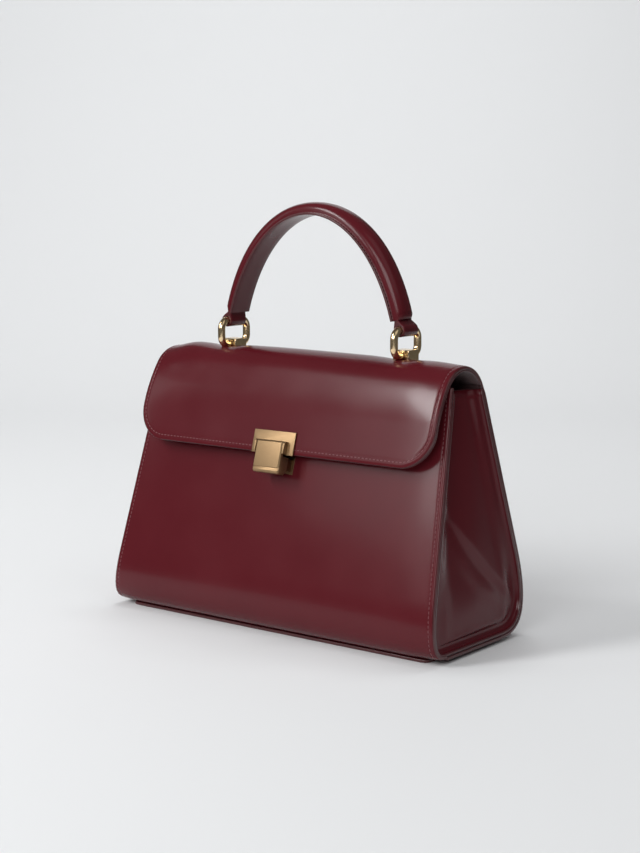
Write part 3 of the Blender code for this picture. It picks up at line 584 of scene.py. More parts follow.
def grid_of(at, lengths, half_at, side_places=SIDE_PLACES, step=CELL):
    """A grid over a stretch of a line: the same share of each row's width in every column."""
    widest = max(half_at(s) for s in lengths)
    places = spaced(2 * widest, side_places, step) - widest
    s = np.repeat(lengths[:, None], len(places), 1)
    half = np.array([half_at(value) for value in lengths])[:, None]
    fixed = side_places[-1]
    near = np.abs(places) > widest - fixed
    scaled = places * (half - fixed) / (widest - fixed)
    x = np.where(near, np.sign(places) * (half - (widest - np.abs(places))), scaled)
    return at(s, x)


print("a grid has", len(SIDE_PLACES), "columns within", SIDE_PLACES[-1], "m of its side")

# %% Front panel
FRONT_FULL, FULL_END = 0.0016, 0.02


def front_at(s, x):
    """Points of the front's outer face at these lengths down it and places across it."""
    place, out = front_line.at(s)
    half = half_width(place[..., 1])
    distance = half - np.abs(x)
    rise = fullness(FRONT_FULL, s / (front_line.length - FULL_END), x / half)
    roll = rolled_back(distance) * smooth_step(s / SIDE_ROLL_WIDTH)
    return lifted(x, place, out, rise - drawn_down(distance) - roll)


def front_half(s):
    return float(half_width(front_line.at(s)[0][1]))


rows = spaced(front_line.length, END_PLACES, CELL)
grid = grid_of(front_at, rows, front_half)
front_leather = sheet("front_leather", grid, PANEL_THICKNESS, EDGE_RADIUS, LEATHER_LOOKS)
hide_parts("front_panel")
print("front:", faces_of(front_leather), "faces")

# %% [markdown]
# ## Back and flap in one sheet
# On the real bag the back's leather runs on over the top and becomes the flap, and it bends where
# the flap opens. So this is one sheet too, whose width and thickness pass from the back's to the
# flap's across the hinge. The flap's lower corners are round, so its rows grow narrower there. The
# top is padded, more at the left, and the staples press the padding down.

# %% Back and flap in form
OVER_LENGTH, JOIN = over_line.length, 0.006
BACK_FULL, FLAP_FULL, LEFT_LIFT = 0.0012, 0.0006, 0.0018
CREST_LENGTH = over_line.length_to(DOME_Y, DOME_LEVEL + DOME_RADIUS)
CREST_LEFT, CREST_RIGHT, CREST_SPREAD, CREST_END = 0.0032, 0.0011, 0.036, 0.025
CREST_START = 0.3
STAPLE_X, STAPLE_Y, _ = joint_places["ring_left_hinge"]
STAPLE_X = abs(STAPLE_X)
STAPLE_RISE = sqrt(DOME_RADIUS**2 - (STAPLE_Y - DOME_Y) ** 2)
STAPLE_LENGTH = over_line.length_to(STAPLE_Y, DOME_LEVEL + STAPLE_RISE)
PRESSED, PRESSED_WIDTH, PRESSED_LENGTH = 0.72, 0.0125, 0.014


def flap_share(s):
    """From the back's width and thickness, 0, to the flap's, 1, where the two join."""
    return smooth_step((s - HINGE_LENGTH + JOIN) / JOIN)


def over_half(s):
    level = float(over_line.at(s)[0][1])
    share = float(flap_share(s))
    wide = half_width(min(level, MOUTH_LEVEL)) * (1 - share) + FLAP_HALF * share
    left = OVER_LENGTH - s
    if left < FLAP_CORNER:
        wide -= FLAP_CORNER - sqrt(max(FLAP_CORNER**2 - (FLAP_CORNER - left) ** 2, 0))
    return wide


def over_thickness(s):
    share = flap_share(s)
    return PANEL_THICKNESS * (1 - share) + FLAP_LEATHER * share


def crest_padding(s, x):
    """How far the padding under the top lifts the leather. It thins out towards the right end."""
    along = smooth_step((x + CREST_START * FLAP_HALF) / ((1 + CREST_START) * FLAP_HALF))
    rise = CREST_LEFT + (CREST_RIGHT - CREST_LEFT) * along
    window = np.cos(pi / 2 * np.clip((s - CREST_LENGTH) / CREST_SPREAD, -1, 1)) ** 2
    near = ((np.abs(x) - STAPLE_X) / PRESSED_WIDTH) ** 2
    near = near + ((s - STAPLE_LENGTH) / PRESSED_LENGTH) ** 2
    pressed = 1 - PRESSED * np.exp(-near)
    return rise * pressed * window * smooth_step((FLAP_HALF - np.abs(x)) / CREST_END)


def edge_distance(s, x):
    """How far a place on the flap is from its nearest edge, round its lower corners too."""
    side, end = FLAP_HALF - np.abs(x), OVER_LENGTH - s
    corner = (side < FLAP_CORNER) & (end < FLAP_CORNER)
    round_edge = FLAP_CORNER - np.hypot(FLAP_CORNER - side, FLAP_CORNER - end)
    return np.where(corner, round_edge, np.minimum(side, end))


def over_at(s, x):
    place, out = over_line.at(s)
    flap = smooth_step((s - HINGE_LENGTH) / JOIN)
    half = half_width(np.minimum(place[..., 1], MOUTH_LEVEL))
    distance = (half - np.abs(x)) * (1 - flap) + edge_distance(s, x) * flap
    back = fullness(BACK_FULL, s / HINGE_LENGTH, x / half)
    share = np.clip((s - HINGE_LENGTH) / (OVER_LENGTH - HINGE_LENGTH), 0, 1)
    roll = rolled_back(FLAP_HALF - np.abs(x)) * smooth_step(2 * share)
    front = FLAP_FULL * np.sin(pi * share) ** 2 - roll
    lift = LEFT_LIFT * smooth_step(-x / FLAP_HALF) * smooth_step(2 * share - 1)
    return lifted(x, place, out, back + front + lift + crest_padding(s, x) - drawn_down(distance))


print("staples at", round(STAPLE_LENGTH, 4), "m, crest at", round(CREST_LENGTH, 4), "m")

# %% Back and flap as a sheet
CORNER_ROWS, OVER_STEP, OVER_CELL = 14, 0.0025, 0.0035
BEND_START, BEND_END = (0, hinge.y + 0.002, hinge.z), (0, hinge.y - 0.005, hinge.z)
turns = np.linspace(pi / 2, 0, CORNER_ROWS + 1)[:-1]
corner_rows = OVER_LENGTH - FLAP_CORNER * (1 - np.cos(turns))
upper_rows = spaced(OVER_LENGTH - FLAP_CORNER, END_PLACES, OVER_STEP)[:-3]
over_rows = np.concatenate((upper_rows, corner_rows, OVER_LENGTH - np.array((END_PLACES[1], 0))))
over_rows = np.unique(np.round(over_rows, 6))
grid = grid_of(over_at, over_rows, over_half, step=OVER_CELL)
thick = over_thickness(over_rows)[:, None] + crest_padding(over_rows[:, None], grid[0][..., 0])
back_and_flap = sheet("back_and_flap_leather", grid, thick, EDGE_RADIUS, LEATHER_LOOKS, None)
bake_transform(back_and_flap)
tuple(BEND_START)
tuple(BEND_END)
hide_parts("back_panel", "flap_leather")
print("back and flap:", faces_of(back_and_flap), "faces")

# %% [markdown]
# The flap is lined with suede, glued to its flesh side.

# %% Flap lining
LINING_PLACES, LINING_CELL = (0, 0.001, 0.003), 0.006


def flap_lining_at(s, x):
    """The lining lies against the leather's flesh side, so it follows the same rolls and lifts."""
    points, out = over_at(s, x)
    depth = over_thickness(s) + crest_padding(s, x) + GAP
    return points - out * depth[..., None], out


rows = over_rows[over_rows > HINGE_LENGTH + GAP]
grid = grid_of(flap_lining_at, rows, over_half, LINING_PLACES, LINING_CELL)
flap_lining = sheet("flap_lining_suede", grid, FLAP_LINING, body=None)
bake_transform(flap_lining)
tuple(BEND_START)
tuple(BEND_END)
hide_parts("flap_lining")
print("flap lining:", faces_of(flap_lining), "faces")

# %% [markdown]
# ## Bottom, base and body lining
# The bottom joins front and back under the base. The base is a separate slab that the bag stands
# on, a little smaller all round. The lining is one sheet up both sides, and each is a stretch of
# the same profile again, further in.

# %% Bottom


def flat_at(s, x):
    points = np.stack((x, seam_front[0] + GAP + s, np.full_like(x, BODY_BOTTOM)), -1)
    return points, np.broadcast_to(np.array((0.0, 0.0, -1.0)), points.shape)


def flat_half(_):
    return float(half_width(BODY_BOTTOM))


rows = spaced(seam_back[0] - seam_front[0] - 2 * GAP, END_PLACES, CELL)
grid = grid_of(flat_at, rows, flat_half, END_PLACES)
bottom = sheet("bottom_leather", grid, PANEL_THICKNESS, EDGE_RADIUS, LEATHER_LOOKS)
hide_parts("bottom_panel")
print("bottom:", faces_of(bottom), "faces")

# %% Base
BASE_CORNER, BASE_SHOW, BASE_STEPS = 0.006, 0.0036, 8


def rounded_rectangle(low, high, radius, steps):
    """Points round a rectangle with round corners, and the way out at each."""
    (left, lower), (right, upper) = [v + radius for v in low], [v - radius for v in high]
    centres = (right, upper), (left, upper), (left, lower), (right, lower)
    turns = [pi / 2 * (k + step / steps) for k in range(4) for step in range(steps + 1)]
    ways = np.array([(cos(turn), sin(turn)) for turn in turns])
    middles = np.array([centres[k] for k in range(4) for _ in range(steps + 1)])
    return middles + radius * ways, ways


base_low, base_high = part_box("base_panel")
base_low.y -= BASE_SHOW
outline, ways = rounded_rectangle(base_low[:2], base_high[:2], BASE_CORNER, BASE_STEPS)
levels = [(EDGE_RADIUS * a, EDGE_RADIUS * b) for a, b in ROUNDING]
levels += [(inset, base_high.z - level) for inset, level in levels[::-1]]
count = len(outline)
rings = [np.column_stack((outline - ways * a, np.full(count, b))) for a, b in levels]
loops = [numbers(k * count, count) for k in range(len(rings))]
faces = [tuple(loops[0]), tuple(loops[-1])]
for first, second in zip(loops, loops[1:]):
    faces += band(first, second)
looks = [0] * 2 + [1] * (len(faces) - 2)
mesh = mesh_from("base_leather", np.concatenate(rings), faces, looks)
base = finish_object("base_leather", mesh, COVER_LOOKS, "bag")
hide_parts("base_panel")
print("base:", [round(v, 4) for v in base_high - base_low], "m")

# %% Body lining
LINING_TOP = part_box("body_lining")[1].z
LINING_DEPTH = BODY_WALL - LINING_THICKNESS
up_back = over_line.points[: DENSE * 3]
lining_line = Line(front_line.points, straight(seam_front, seam_back), up_back)


def lining_half(s):
    level = min(float(lining_line.at(s)[0][1]), MOUTH_LEVEL)
    return float(half_width(level)) - GUSSET_INSET - GUSSET_THICKNESS - GAP


def lining_at(s, x):
    return lifted(x, *lining_line.at(s, np.full_like(s, LINING_DEPTH)))


first = (MOUTH_LEVEL - LINING_TOP) / cos(PANEL_LEAN)
first += LINING_DEPTH * sin(PANEL_LEAN) / cos(PANEL_LEAN)
last = lining_line.length_to(panel_y(LINING_TOP), LINING_TOP)
rows = first + spaced(last - first, END_PLACES, CELL)
grid = grid_of(lining_at, rows, lining_half, END_PLACES, LINING_CELL)
body_lining = sheet("body_lining_suede", grid, LINING_THICKNESS)
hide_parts("body_lining")
print("lining:", faces_of(body_lining), "faces")

# %% [markdown]
# ## Gussets
# Each gusset is one piece of leather with its edge turned out against the panels, so from the end
# you see its cut edge beside theirs, a wall that goes in, and the web. The web isn't stiff. It
# falls in soft folds, from the mouth down towards the base. Rings follow the outline inwards, and
# level rows fill the middle.

# %% The gusset's outline and folds
SIDE_ROWS, BASE_COLUMNS, ROW_POWER = 60, 34, 1.6
GUSSET_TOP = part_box("gusset_right")[1].z
GUSSET_HEIGHT = GUSSET_TOP - BODY_BOTTOM
# Distance from the panels, and how far in from the ends, round the turned-out edge, in 0.1 mm
RIM = ((0, 12), (1, 4), (4, 0), (18, 0), (21, 3), (22, 8), (23, 14), (25, 21))
RIM += ((30, 27), (38, 31), (50, 34), (65, 35))
RIM = [(round(depth / 1e4, 4), round(inset / 1e4, 4)) for depth, inset in RIM]
CUT_RINGS, WALL_LEATHER = 5, 0.001
DISH, DISH_COLUMNS, WEB_COLUMNS = 0.0015, 7, 5
FOLD_LEVEL, FOLD_SLOPE = 0.39, 0.308
FOLD_RISE, FOLD_ABOVE, FOLD_BELOW = 0.0021, 0.03, 0.0062
# Where the fold fades at the front and the back, and over how much
FOLD_FRONT, FOLD_BACK = (-0.95, 0.3), (1.0, 0.2)
TUCK_RISE, TUCK_DROP, TUCK_WIDTH = 0.0006, 0.019, 0.009
# Middle and reach of the belly and of the swell, each across and up
BELLY_RISE, BELLY = 0.003, ((-0.15, 0.85), (0.09, 0.16))
SWELL_RISE, SWELL = 0.0004, ((0.3, 0.4), (0.2, 0.08))
MOUTH_DIP, MOUTH_START, MOUTH_SPAN = 0.002, 0.45, 0.55
HOLLOW_DEPTH, HOLLOW_LEVEL, HOLLOW_SPAN, HOLLOW_REACH = 0.0075, 0.22, 0.45, 1.3


def outline_of(level, side, corner):
    """How far the outer skin is from the middle at this level, on the front or the back."""
    rise, run = corner
    high = BODY_BOTTOM + rise
    if side > 0 and level > TOUCH_LEVEL:
        return DOME_Y + sqrt(DOME_RADIUS**2 - (level - DOME_LEVEL) ** 2)
    if level >= high:
        return side * panel_y(level)
    t = 1 - sqrt((level - BODY_BOTTOM) / rise)
    start, sharp = panel_y(high), panel_y(BODY_BOTTOM)
    return side * pulled(t, start, sharp, sharp - run)


def skin_ring(depth):
    """The gusset's outline at a depth from the outer skin: down the front, along, up the back."""
    share = np.linspace(0, 1, SIDE_ROWS + 1)[:-1]
    levels = BODY_BOTTOM + (GUSSET_TOP - BODY_BOTTOM) * (1 - share) ** ROW_POWER
    front = np.array([(outline_of(z, -1, FRONT_CORNER), z) for z in levels])
    back = np.array([(outline_of(z, 1, BACK_CORNER), z) for z in levels])
    flat = np.linspace(front_corner[-1], back_corner[-1], BASE_COLUMNS + 1)
    points = np.concatenate((front, flat, back[::-1]))
    moved = points - ways_out(points) * depth
    moved[[0, -1], 1] = GUSSET_TOP
    return moved


def mound(across, height, form):
    (middle, reach), (level, rise) = form
    return np.exp(-(((across - middle) / reach) ** 2) - ((height - level) / rise) ** 2)


def web_fold(y, z):
    """How far the soft web stands in from flat. One fold runs from the front down to the back."""
    height = (z - BODY_BOTTOM) / GUSSET_HEIGHT
    across = y / panel_y(z)
    below = (FOLD_LEVEL - FOLD_SLOPE * across - height) * GUSSET_HEIGHT
    (front, front_fade), (back, back_fade) = FOLD_FRONT, FOLD_BACK
    ends = smooth_step((across - front) / front_fade) * smooth_step((back - across) / back_fade)
    ridge = np.exp(-((below / np.where(below < 0, FOLD_ABOVE, FOLD_BELOW)) ** 2)) * ends
    tuck = np.exp(-(((below - TUCK_DROP) / TUCK_WIDTH) ** 2)) * ends
    mouth = smooth_step((height - MOUTH_START) / MOUTH_SPAN) * np.clip(1 - across**2, 0, 1)
    hollow = smooth_step((height - HOLLOW_LEVEL) / HOLLOW_SPAN)
    hollow = hollow * (1 - smooth_step((across + 1) / HOLLOW_REACH))
    raised = FOLD_RISE * ridge + TUCK_RISE * tuck + BELLY_RISE * mound(across, height, BELLY)
    raised = raised + SWELL_RISE * mound(across, height, SWELL)
    return HOLLOW_DEPTH * hollow + MOUTH_DIP * mouth - raised


print("gusset", round(GUSSET_HEIGHT, 4), "m high, a ring has", len(skin_ring(0)), "points")

# %% Gussets


def gusset_mesh(name, side):
    rings = [skin_ring(PANEL_THICKNESS + GAP + depth) for depth, _ in RIM]
    size = len(rings[0])
    points, faces, looks = [], [], []
    for ring, (_, inset) in zip(rings, RIM):
        points += [(side * (half_width(z) - inset), y, z) for y, z in ring]
    for k in range(len(RIM) - 1):
        for n in range(size - 1):
            a, b = k * size + n, (k + 1) * size + n
            faces.append((a, a + 1, b + 1, b))
            looks.append(int(k < CUT_RINGS))
    last = (len(RIM) - 1) * size
    ladder = []
    for row in range(SIDE_ROWS):
        start, end = rings[-1][row], rings[-1][size - 1 - row]
        line = [last + row]
        for col in range(1, BASE_COLUMNS):
            y, z = start + (end - start) * col / BASE_COLUMNS
            from_edge = min(col, BASE_COLUMNS - col, (SIDE_ROWS - row) / 2)
            dish = DISH * float(smooth_step(from_edge / DISH_COLUMNS))
            fold = web_fold(y, z) * float(smooth_step(from_edge / WEB_COLUMNS))
            line.append(len(points))
            points.append((side * (half_width(z) - (RIM[-1][1] + dish + fold)), y, z))
        line.append(last + size - 1 - row)
        ladder.append(line)
    ladder.append(numbers(last + SIDE_ROWS, BASE_COLUMNS + 1))
    for upper, lower in zip(ladder, ladder[1:]):
        faces += zip(upper[:-1], upper[1:], lower[1:], lower[:-1])
        looks += [0] * BASE_COLUMNS
    return mesh_from(name, points, faces, looks, side)


for word, side in SIDES:
    name = "gusset_leather_" + word
    shell = gusset_mesh(name, side)
    for look in COVER_LOOKS:
        shell.materials.append(look)
    wall = {"thickness": WALL_LEATHER, "offset": -1, "use_even_offset": False}
    gusset = finish_object(name, modified(name, shell, "SOLIDIFY", **wall), COVER_LOOKS, "bag")
    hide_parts("gusset_" + word)
print("gusset:", faces_of(gusset), "faces")

# %% Gusset linings
web = GUSSET_INSET + GUSSET_THICKNESS + GAP
ring = skin_ring(BODY_WALL + GAP)
half_count = (len(ring) - 1 - BASE_COLUMNS) // 2
shares = np.arange(BASE_COLUMNS + 1)[None, :, None]
start, end = ring[: half_count + 1, None], ring[: -half_count - 2 : -1, None]
level_rows = start + (end - start) * shares / BASE_COLUMNS
y, z = level_rows[..., 0], level_rows[..., 1]
for word, side in SIDES:
    x = side * (half_width(z) - web - np.maximum(web_fold(y, z), 0))
    points = np.stack((x, y, z), -1)
    ways = np.broadcast_to(np.array((float(side), 0.0, 0.0)), points.shape)
    lining = sheet("gusset_lining_suede_" + word, (points, ways), LINING_THICKNESS)
    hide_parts("gusset_lining_" + word)
print("gusset lining:", faces_of(lining), "faces")

# %% [markdown]
# ## Handle
# The handle is a padded strap: a flat strip towards the hand, and a domed cover sewn to it along
# both edges. It has the same section all the way, so its shape follows a rule, and Geometry
# Nodes sweep the section along half an ellipse. The section is the object's own mesh. The padding
# is then made fuller at the shoulders and drawn down at the two ends.

# %% The handle's arch
RING_X, BAR_Y, HIGH_BAR = joint_places["handle_hinge"]
RING_X = abs(RING_X)
ARCH_SINK, HANDLE_RISE, TAB_SHOW, ARCH_STEPS = 0.0386, 0.0805, 0.007, 96
ARCH_LEVEL, ARCH_HEIGHT = HIGH_BAR - ARCH_SINK, HANDLE_RISE + ARCH_SINK
ARCH_REACH = RING_X / sqrt(1 - (ARCH_SINK / ARCH_HEIGHT) ** 2)


def arch_turn(distance):
    """The turn on the arch at this distance up it from a ring's high bar."""
    turn = asin(ARCH_SINK / ARCH_HEIGHT)
    for _ in range(ARCH_STEPS):
        turn += distance / ARCH_STEPS / hypot(ARCH_REACH * sin(turn), ARCH_HEIGHT * cos(turn))
    return turn


def arch_frame(turn):
    """A point of the arch's centre line in X and Z, and the direction out from it."""
    out = np.array((ARCH_HEIGHT * cos(turn), ARCH_REACH * sin(turn)))
    point = np.array((ARCH_REACH * cos(turn), ARCH_LEVEL + ARCH_HEIGHT * sin(turn)))
    return point, out / np.hypot(*out)


def end_group(tree, add, geometry, look):
    """The last steps of a tree: real geometry, its material, and the way out."""
    named = add("SetMaterial", add("RealizeInstances", geometry), Material=look)
    maker(tree, "NodeGroup")("Output", named)
    return tree


def sweep_group():
    """Geometry Nodes: the object's own outline, swept along part of an ellipse in X and Z."""
    sizes = dict(Section="Geometry", Reach=ARCH_REACH, Height=ARCH_HEIGHT, Level=ARCH_LEVEL)
    sizes |= dict(Setback=BAR_Y, Start_Turn=0.4, Steps=ARCH_STEPS, Leather="Material")
    tree, add, sums, given = new_group("arch_sweep", "Geometry", sizes, dict(Handle="Geometry"))
    section, reach, height, level, setback, start, steps, leather = given
    dense = add("ResampleCurve", add("CurvePrimitiveLine"), Count=steps)
    sum_of = dict(operation="MULTIPLY_ADD")
    span = sums("Math", start, -2.0, pi, **sum_of)
    turn = sums("Math", add("SplineParameter"), span, start, **sum_of)
    x = sums("Math", sums("Math", turn, operation="COSINE"), reach, operation="MULTIPLY")
    z = sums("Math", sums("Math", turn, operation="SINE"), height, level, **sum_of)
    bent = add("SetPosition", dense, Position=sums("CombineXYZ", x, setback, z))
    upright = add("SetCurveNormal", bent, mode="Z_UP")
    swept = add("CurveToMesh", upright, add("MeshToCurve", section), Fill_Caps=True)
    return end_group(tree, add, swept, leather)


sweep, FIRST_TURN = sweep_group(), arch_turn(TAB_SHOW)
print("arch:", round(2 * ARCH_REACH, 4), "m wide,", round(ARCH_HEIGHT, 4), "m high")

# %% Handle
HANDLE_HALF, HANDLE_INNER, HANDLE_OUTER = 0.0105, -0.0043, 0.0043
FLAT_HALF, FLANGE_EDGE, EDGE_POINTS = 0.005, 0.0005, 4
FLANGE_TOP, FLANGE_WIDTH, VALLEY = -0.0026, 0.0016, 0.0005
# The cover's section: how square it is, and its turns as shares of a half turn
FULLNESS, COVER_START, COVER_END, COVER_POINTS = 2.5, 0.02, 0.5, 15
SHOULDER_PAD, TOP_PAD = 0.0016, 0.0001
END_TAPER, END_HEIGHT = 0.003, 0.7
PAINT_WIDTH, MERGE = 0.0006, 0.00001
PAD_HEIGHT = HANDLE_OUTER - FLANGE_TOP


def handle_section():
    """Half of the section from the middle of the hand's side out and up, then its mirror."""
    half = [(0.0, HANDLE_INNER), (FLAT_HALF, HANDLE_INNER)]
    edge = FLANGE_EDGE
    for level, start in ((HANDLE_INNER + edge, -pi / 2), (FLANGE_TOP - edge, 0)):
        for turn in np.linspace(start, start + pi / 2, EDGE_POINTS):
            half.append((HANDLE_HALF - edge + edge * cos(turn), level + edge * sin(turn)))
    foot = HANDLE_HALF - FLANGE_WIDTH
    half += [(foot + VALLEY, FLANGE_TOP - VALLEY / 2), (foot, FLANGE_TOP - VALLEY)]
    for way in np.linspace(COVER_START, COVER_END, COVER_POINTS) * pi:
        u = foot * cos(way) ** (2 / FULLNESS) if way < pi / 2 else 0.0
        half.append((u, FLANGE_TOP + PAD_HEIGHT * sin(way) ** (2 / FULLNESS)))
    return half + [(-u, v) for u, v in half[-2:0:-1]]


def padded_more(place):
    """How far a point of the cover moves out: fuller at the shoulders, drawn down at the ends."""
    turn = atan2((place.z - ARCH_LEVEL) / ARCH_HEIGHT, place.x / ARCH_REACH)
    point, out = arch_frame(turn)
    height = (place.x - point[0]) * out[0] + (place.z - point[1]) * out[1]
    share = min(max((height - FLANGE_TOP) / PAD_HEIGHT, 0.0), 1.0)
    more = share * (SHOULDER_PAD * sin(2 * turn) ** 2 + TOP_PAD * sin(turn) ** 2)
    near_end = min(turn, pi - turn) - FIRST_TURN
    run = min(max(near_end * ARCH_HEIGHT / END_TAPER, 0.0), 1.0)
    kept = END_HEIGHT + (1 - END_HEIGHT) * sqrt(1 - (1 - run) ** 2)
    more -= (1 - kept) * max(height - FLANGE_TOP, 0.0)
    return Vector((out[0], 0.0, out[1])) * more


section = loop_mesh("handle_section", [(u, -v, 0.0) for u, v in handle_section()])
sizes = {"Start Turn": FIRST_TURN, "Leather": calf}
handle_mesh = modified("handle_leather", section, "NODES", sizes, node_group=sweep)
with edited(handle_mesh) as shape:
    bmesh.ops.remove_doubles(shape, verts=shape.verts[:], dist=MERGE)
    bmesh.ops.recalc_face_normals(shape, faces=shape.faces[:])
    for vert in shape.verts:
        vert.co += padded_more(vert.co)
    for face in shape.faces:
        edge_near = min(abs(vert.co.y - BAR_Y) for vert in face.verts)
        face.material_index = int(edge_near > HANDLE_HALF - PAINT_WIDTH)
handle = finish_object("handle_leather", handle_mesh, COVER_LOOKS, "handle")
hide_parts("handle_cover")
top = max(vertex.co.z for vertex in handle_mesh.vertices)
print("handle:", len(handle_mesh.polygons), "faces, top at", round(top, 4), "m")

# %% [markdown]
# ## Tabs
# A short leather tab loops round each ring's upper bar and goes up into the handle's end. Its
# outline in X and Z is carried across the strap, with rounded edges.

# %% Tabs
WIRE, BAR_STEPS, TONGUE_STEPS = 0.0054, 32, 8
TAB_HALF, TAB_LEATHER, TAB_INSERT, CORE_DEPTH = 0.0082, 0.0016, 0.007, 0.001
TAB_EDGE, TAB_CREASE = 0.0005, radians(50)
HOLE_RADIUS = WIRE / 2 + GAP


def tab_outline(shrink):
    """The tab's outline in X and Z: up one side of its tongue, round the bar and up the other."""
    centre = np.array((RING_X, HIGH_BAR))
    radius = HOLE_RADIUS + TAB_LEATHER - shrink
    outer, inner = [], []
    for step in range(TONGUE_STEPS + 1):
        up = TAB_SHOW + TAB_INSERT - shrink - (TAB_INSERT + 2 * GAP) * step / TONGUE_STEPS
        point, out = arch_frame(arch_turn(up))
        outer.append(point + out * (TAB_LEATHER - CORE_DEPTH - shrink))
        inner.append(point + out * (-TAB_LEATHER - CORE_DEPTH + shrink))
    turns = []
    for point, side in ((outer[-1], -1), (inner[-1], 1)):
        away = point - centre
        turns.append(atan2(away[1], away[0]) + side * acos(radius / np.hypot(*away)))
    round_bar = np.linspace(turns[0], turns[1] - 2 * pi, BAR_STEPS + 1)
    loop = [centre + radius * np.array((cos(turn), sin(turn))) for turn in round_bar]
    return outer + loop + inner[::-1]


def tab_mesh(name, side):
    profile = [(TAB_EDGE * b, TAB_EDGE * a) for a, b in ROUNDING]
    profile += [(2 * TAB_HALF - y, shrink) for y, shrink in profile[::-1]]
    rows, holes = [], []
    mesh = bpy.data.meshes.new(name)
    with edited(mesh) as shape:
        for y, shrink in profile:
            ring = [(side * x, BAR_Y - TAB_HALF + y, z) for x, z in tab_outline(shrink)]
            rows.append([shape.verts.new(p) for p in ring])
        for first, second in zip(rows, rows[1:]):
            for corners in band(first, second):
                shape.faces.new(corners)
        turns = np.linspace(0, 2 * pi, BAR_STEPS + 1)[:-1]
        for row in (rows[0], rows[-1]):
            y, hole = row[0].co.y, []
            for turn in turns:
                x, z = RING_X + HOLE_RADIUS * cos(turn), HIGH_BAR + HOLE_RADIUS * sin(turn)
                hole.append(shape.verts.new((side * x, y, z)))
            holes.append(hole)
        for corners in band(*holes):
            shape.faces.new(corners)
        for loops in zip((rows[0], rows[-1]), holes):
            edges = []
            for loop in loops:
                for pair in zip(loop, loop[1:] + loop[:1]):
                    edges.append(shape.edges.get(pair) or shape.edges.new(pair))
            filled = bmesh.ops.triangle_fill(shape, edges=edges, use_beauty=True)
            for item in filled["geom"]:
                if isinstance(item, bmesh.types.BMFace):
                    item.material_index = 1
    return outwards(mesh)


for word, side in SIDES:
    mesh = tab_mesh("tab_leather_" + word, side)
    tab = finish_object(mesh.name, mesh, COVER_LOOKS, "handle")
    mesh.set_sharp_from_angle(angle=TAB_CREASE)
    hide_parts("handle_tab_" + word)
print("tabs:", len(mesh.polygons), "faces each")

# %% [markdown]
# ## Rings
# Round wire bent to a rounded rectangle. Geometry Nodes sweep a circle round the closed path,
# which is the object's own mesh.

# %% Rings
LOW_BAR = joint_places["ring_left_hinge"].z
RING_HALF = (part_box("ring_left")[1].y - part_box("ring_left")[0].y - WIRE) / 2
RING_CORNER, RING_STEPS, WIRE_SIDES = 0.0062, 12, 32


def wire_group():
    sizes = dict(Path="Geometry", Wire_Radius=WIRE / 2, Sides=WIRE_SIDES, Metal="Material")
    tree, add, _, given = new_group("bent_wire", "Geometry", sizes, dict(Ring="Geometry"))
    path, radius, sides, metal = given
    circle = add("CurvePrimitiveCircle", sides, Radius=radius)
    return end_group(tree, add, add("CurveToMesh", add("MeshToCurve", path), circle), metal)


wire = wire_group()
low, high = (BAR_Y - RING_HALF, LOW_BAR), (BAR_Y + RING_HALF, HIGH_BAR)
path, _ = rounded_rectangle(low, high, RING_CORNER, RING_STEPS)
for word, side in SIDES:
    mesh = loop_mesh("ring_path", [(side * RING_X, y, z) for y, z in path])
    name = "bright_ring_" + word
    mesh = outwards(modified(name, mesh, "NODES", {"Metal": polished_gold}, node_group=wire))
    ring = finish_object(name, mesh, (polished_gold,), word + "_ring")
    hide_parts("ring_" + word)
print("rings:", len(mesh.polygons), "faces each")

# %% [markdown]
# ## Lock, keeper and staples
# These keep the shape of their solids. A real fitting has slightly broken edges that catch the
# light, so each solid is copied, its loose triangles are joined, and its sharp edges get a small
# bevel. The copy stands exactly where the solid is.

# %% Bevelled fittings
FINE_EDGE, EDGE_SEGMENTS, EDGE_TURN, FLAT_TURN = 0.00018, 3, radians(40), radians(1)
CLOSE = 0.000005


def bevelled(node, look, body):
    """A copy of a CAD solid with joined faces and narrow rounded edges, in place of it."""
    mesh = nodes[node].data.copy()
    mesh.materials.clear()
    with edited(mesh) as shape:
        bmesh.ops.remove_doubles(shape, verts=shape.verts[:], dist=CLOSE)
        everything = {"verts": shape.verts[:], "edges": shape.edges[:]}
        bmesh.ops.dissolve_limit(shape, angle_limit=FLAT_TURN, **everything)
    mesh.materials.append(look)
    edges = {"limit_method": "ANGLE", "angle_limit": EDGE_TURN, "segments": EDGE_SEGMENTS}
    made = modified(node + "_edges", mesh, "BEVEL", width=FINE_EDGE, **edges)
    piece = finish_object("bright_" + node, made, (look,), body)
    made.set_sharp_from_angle(angle=EDGE_TURN)
    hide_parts(node)
    return piece


bodies_of = frame["record"]["behaviour"]["bodies"]
body_named = {node: body for body, members in bodies_of.items() for node in members}
# The keeper takes the dark brown gold, which is painted shade.
# The plate and the hasp take the satin gold, whose darker colour is painted shade.
looks = {"lock_plate": satin_gold_painted_shade, "lock_hasp": satin_gold_painted_shade, "keeper": painted_shade_gold}
looks |= {"staple_left": polished_gold, "staple_right": polished_gold}
for node, look in looks.items():
    piece = bevelled(node, look, body_named[node])
    print(node, faces_of(piece), "faces")

# %% Finishes for the solids that stay
for node, solid in nodes.items():
    if solid.hide_render:
        continue
    look = polished_gold
    if node.endswith("board") or node == "handle_core":
        look = fibre_board
    elif node == "hasp_spring":
        look = spring_steel
    elif "backplate" in node or "pin" in node:
        # Backplates and pins take the satin gold, whose darker colour is painted shade.
        look = satin_gold_painted_shade
    solid.data.materials.clear()
    solid.data.materials.append(look)
print("kept solids:", sum(not solid.hide_render for solid in nodes.values()))

# %% [markdown]
# ## Stitches
# A saddle stitch is a short thread that dips into a hole at each end, one after another at an
# even pitch. One tree places a stitch at each step along a path, lying along it and flat on the
# leather, whose way out each path point carries as an attribute.

# %% Stitch nodes
PITCH, STITCH_LENGTH, THREAD_WIDTH = 0.003, 0.0022, 0.00068


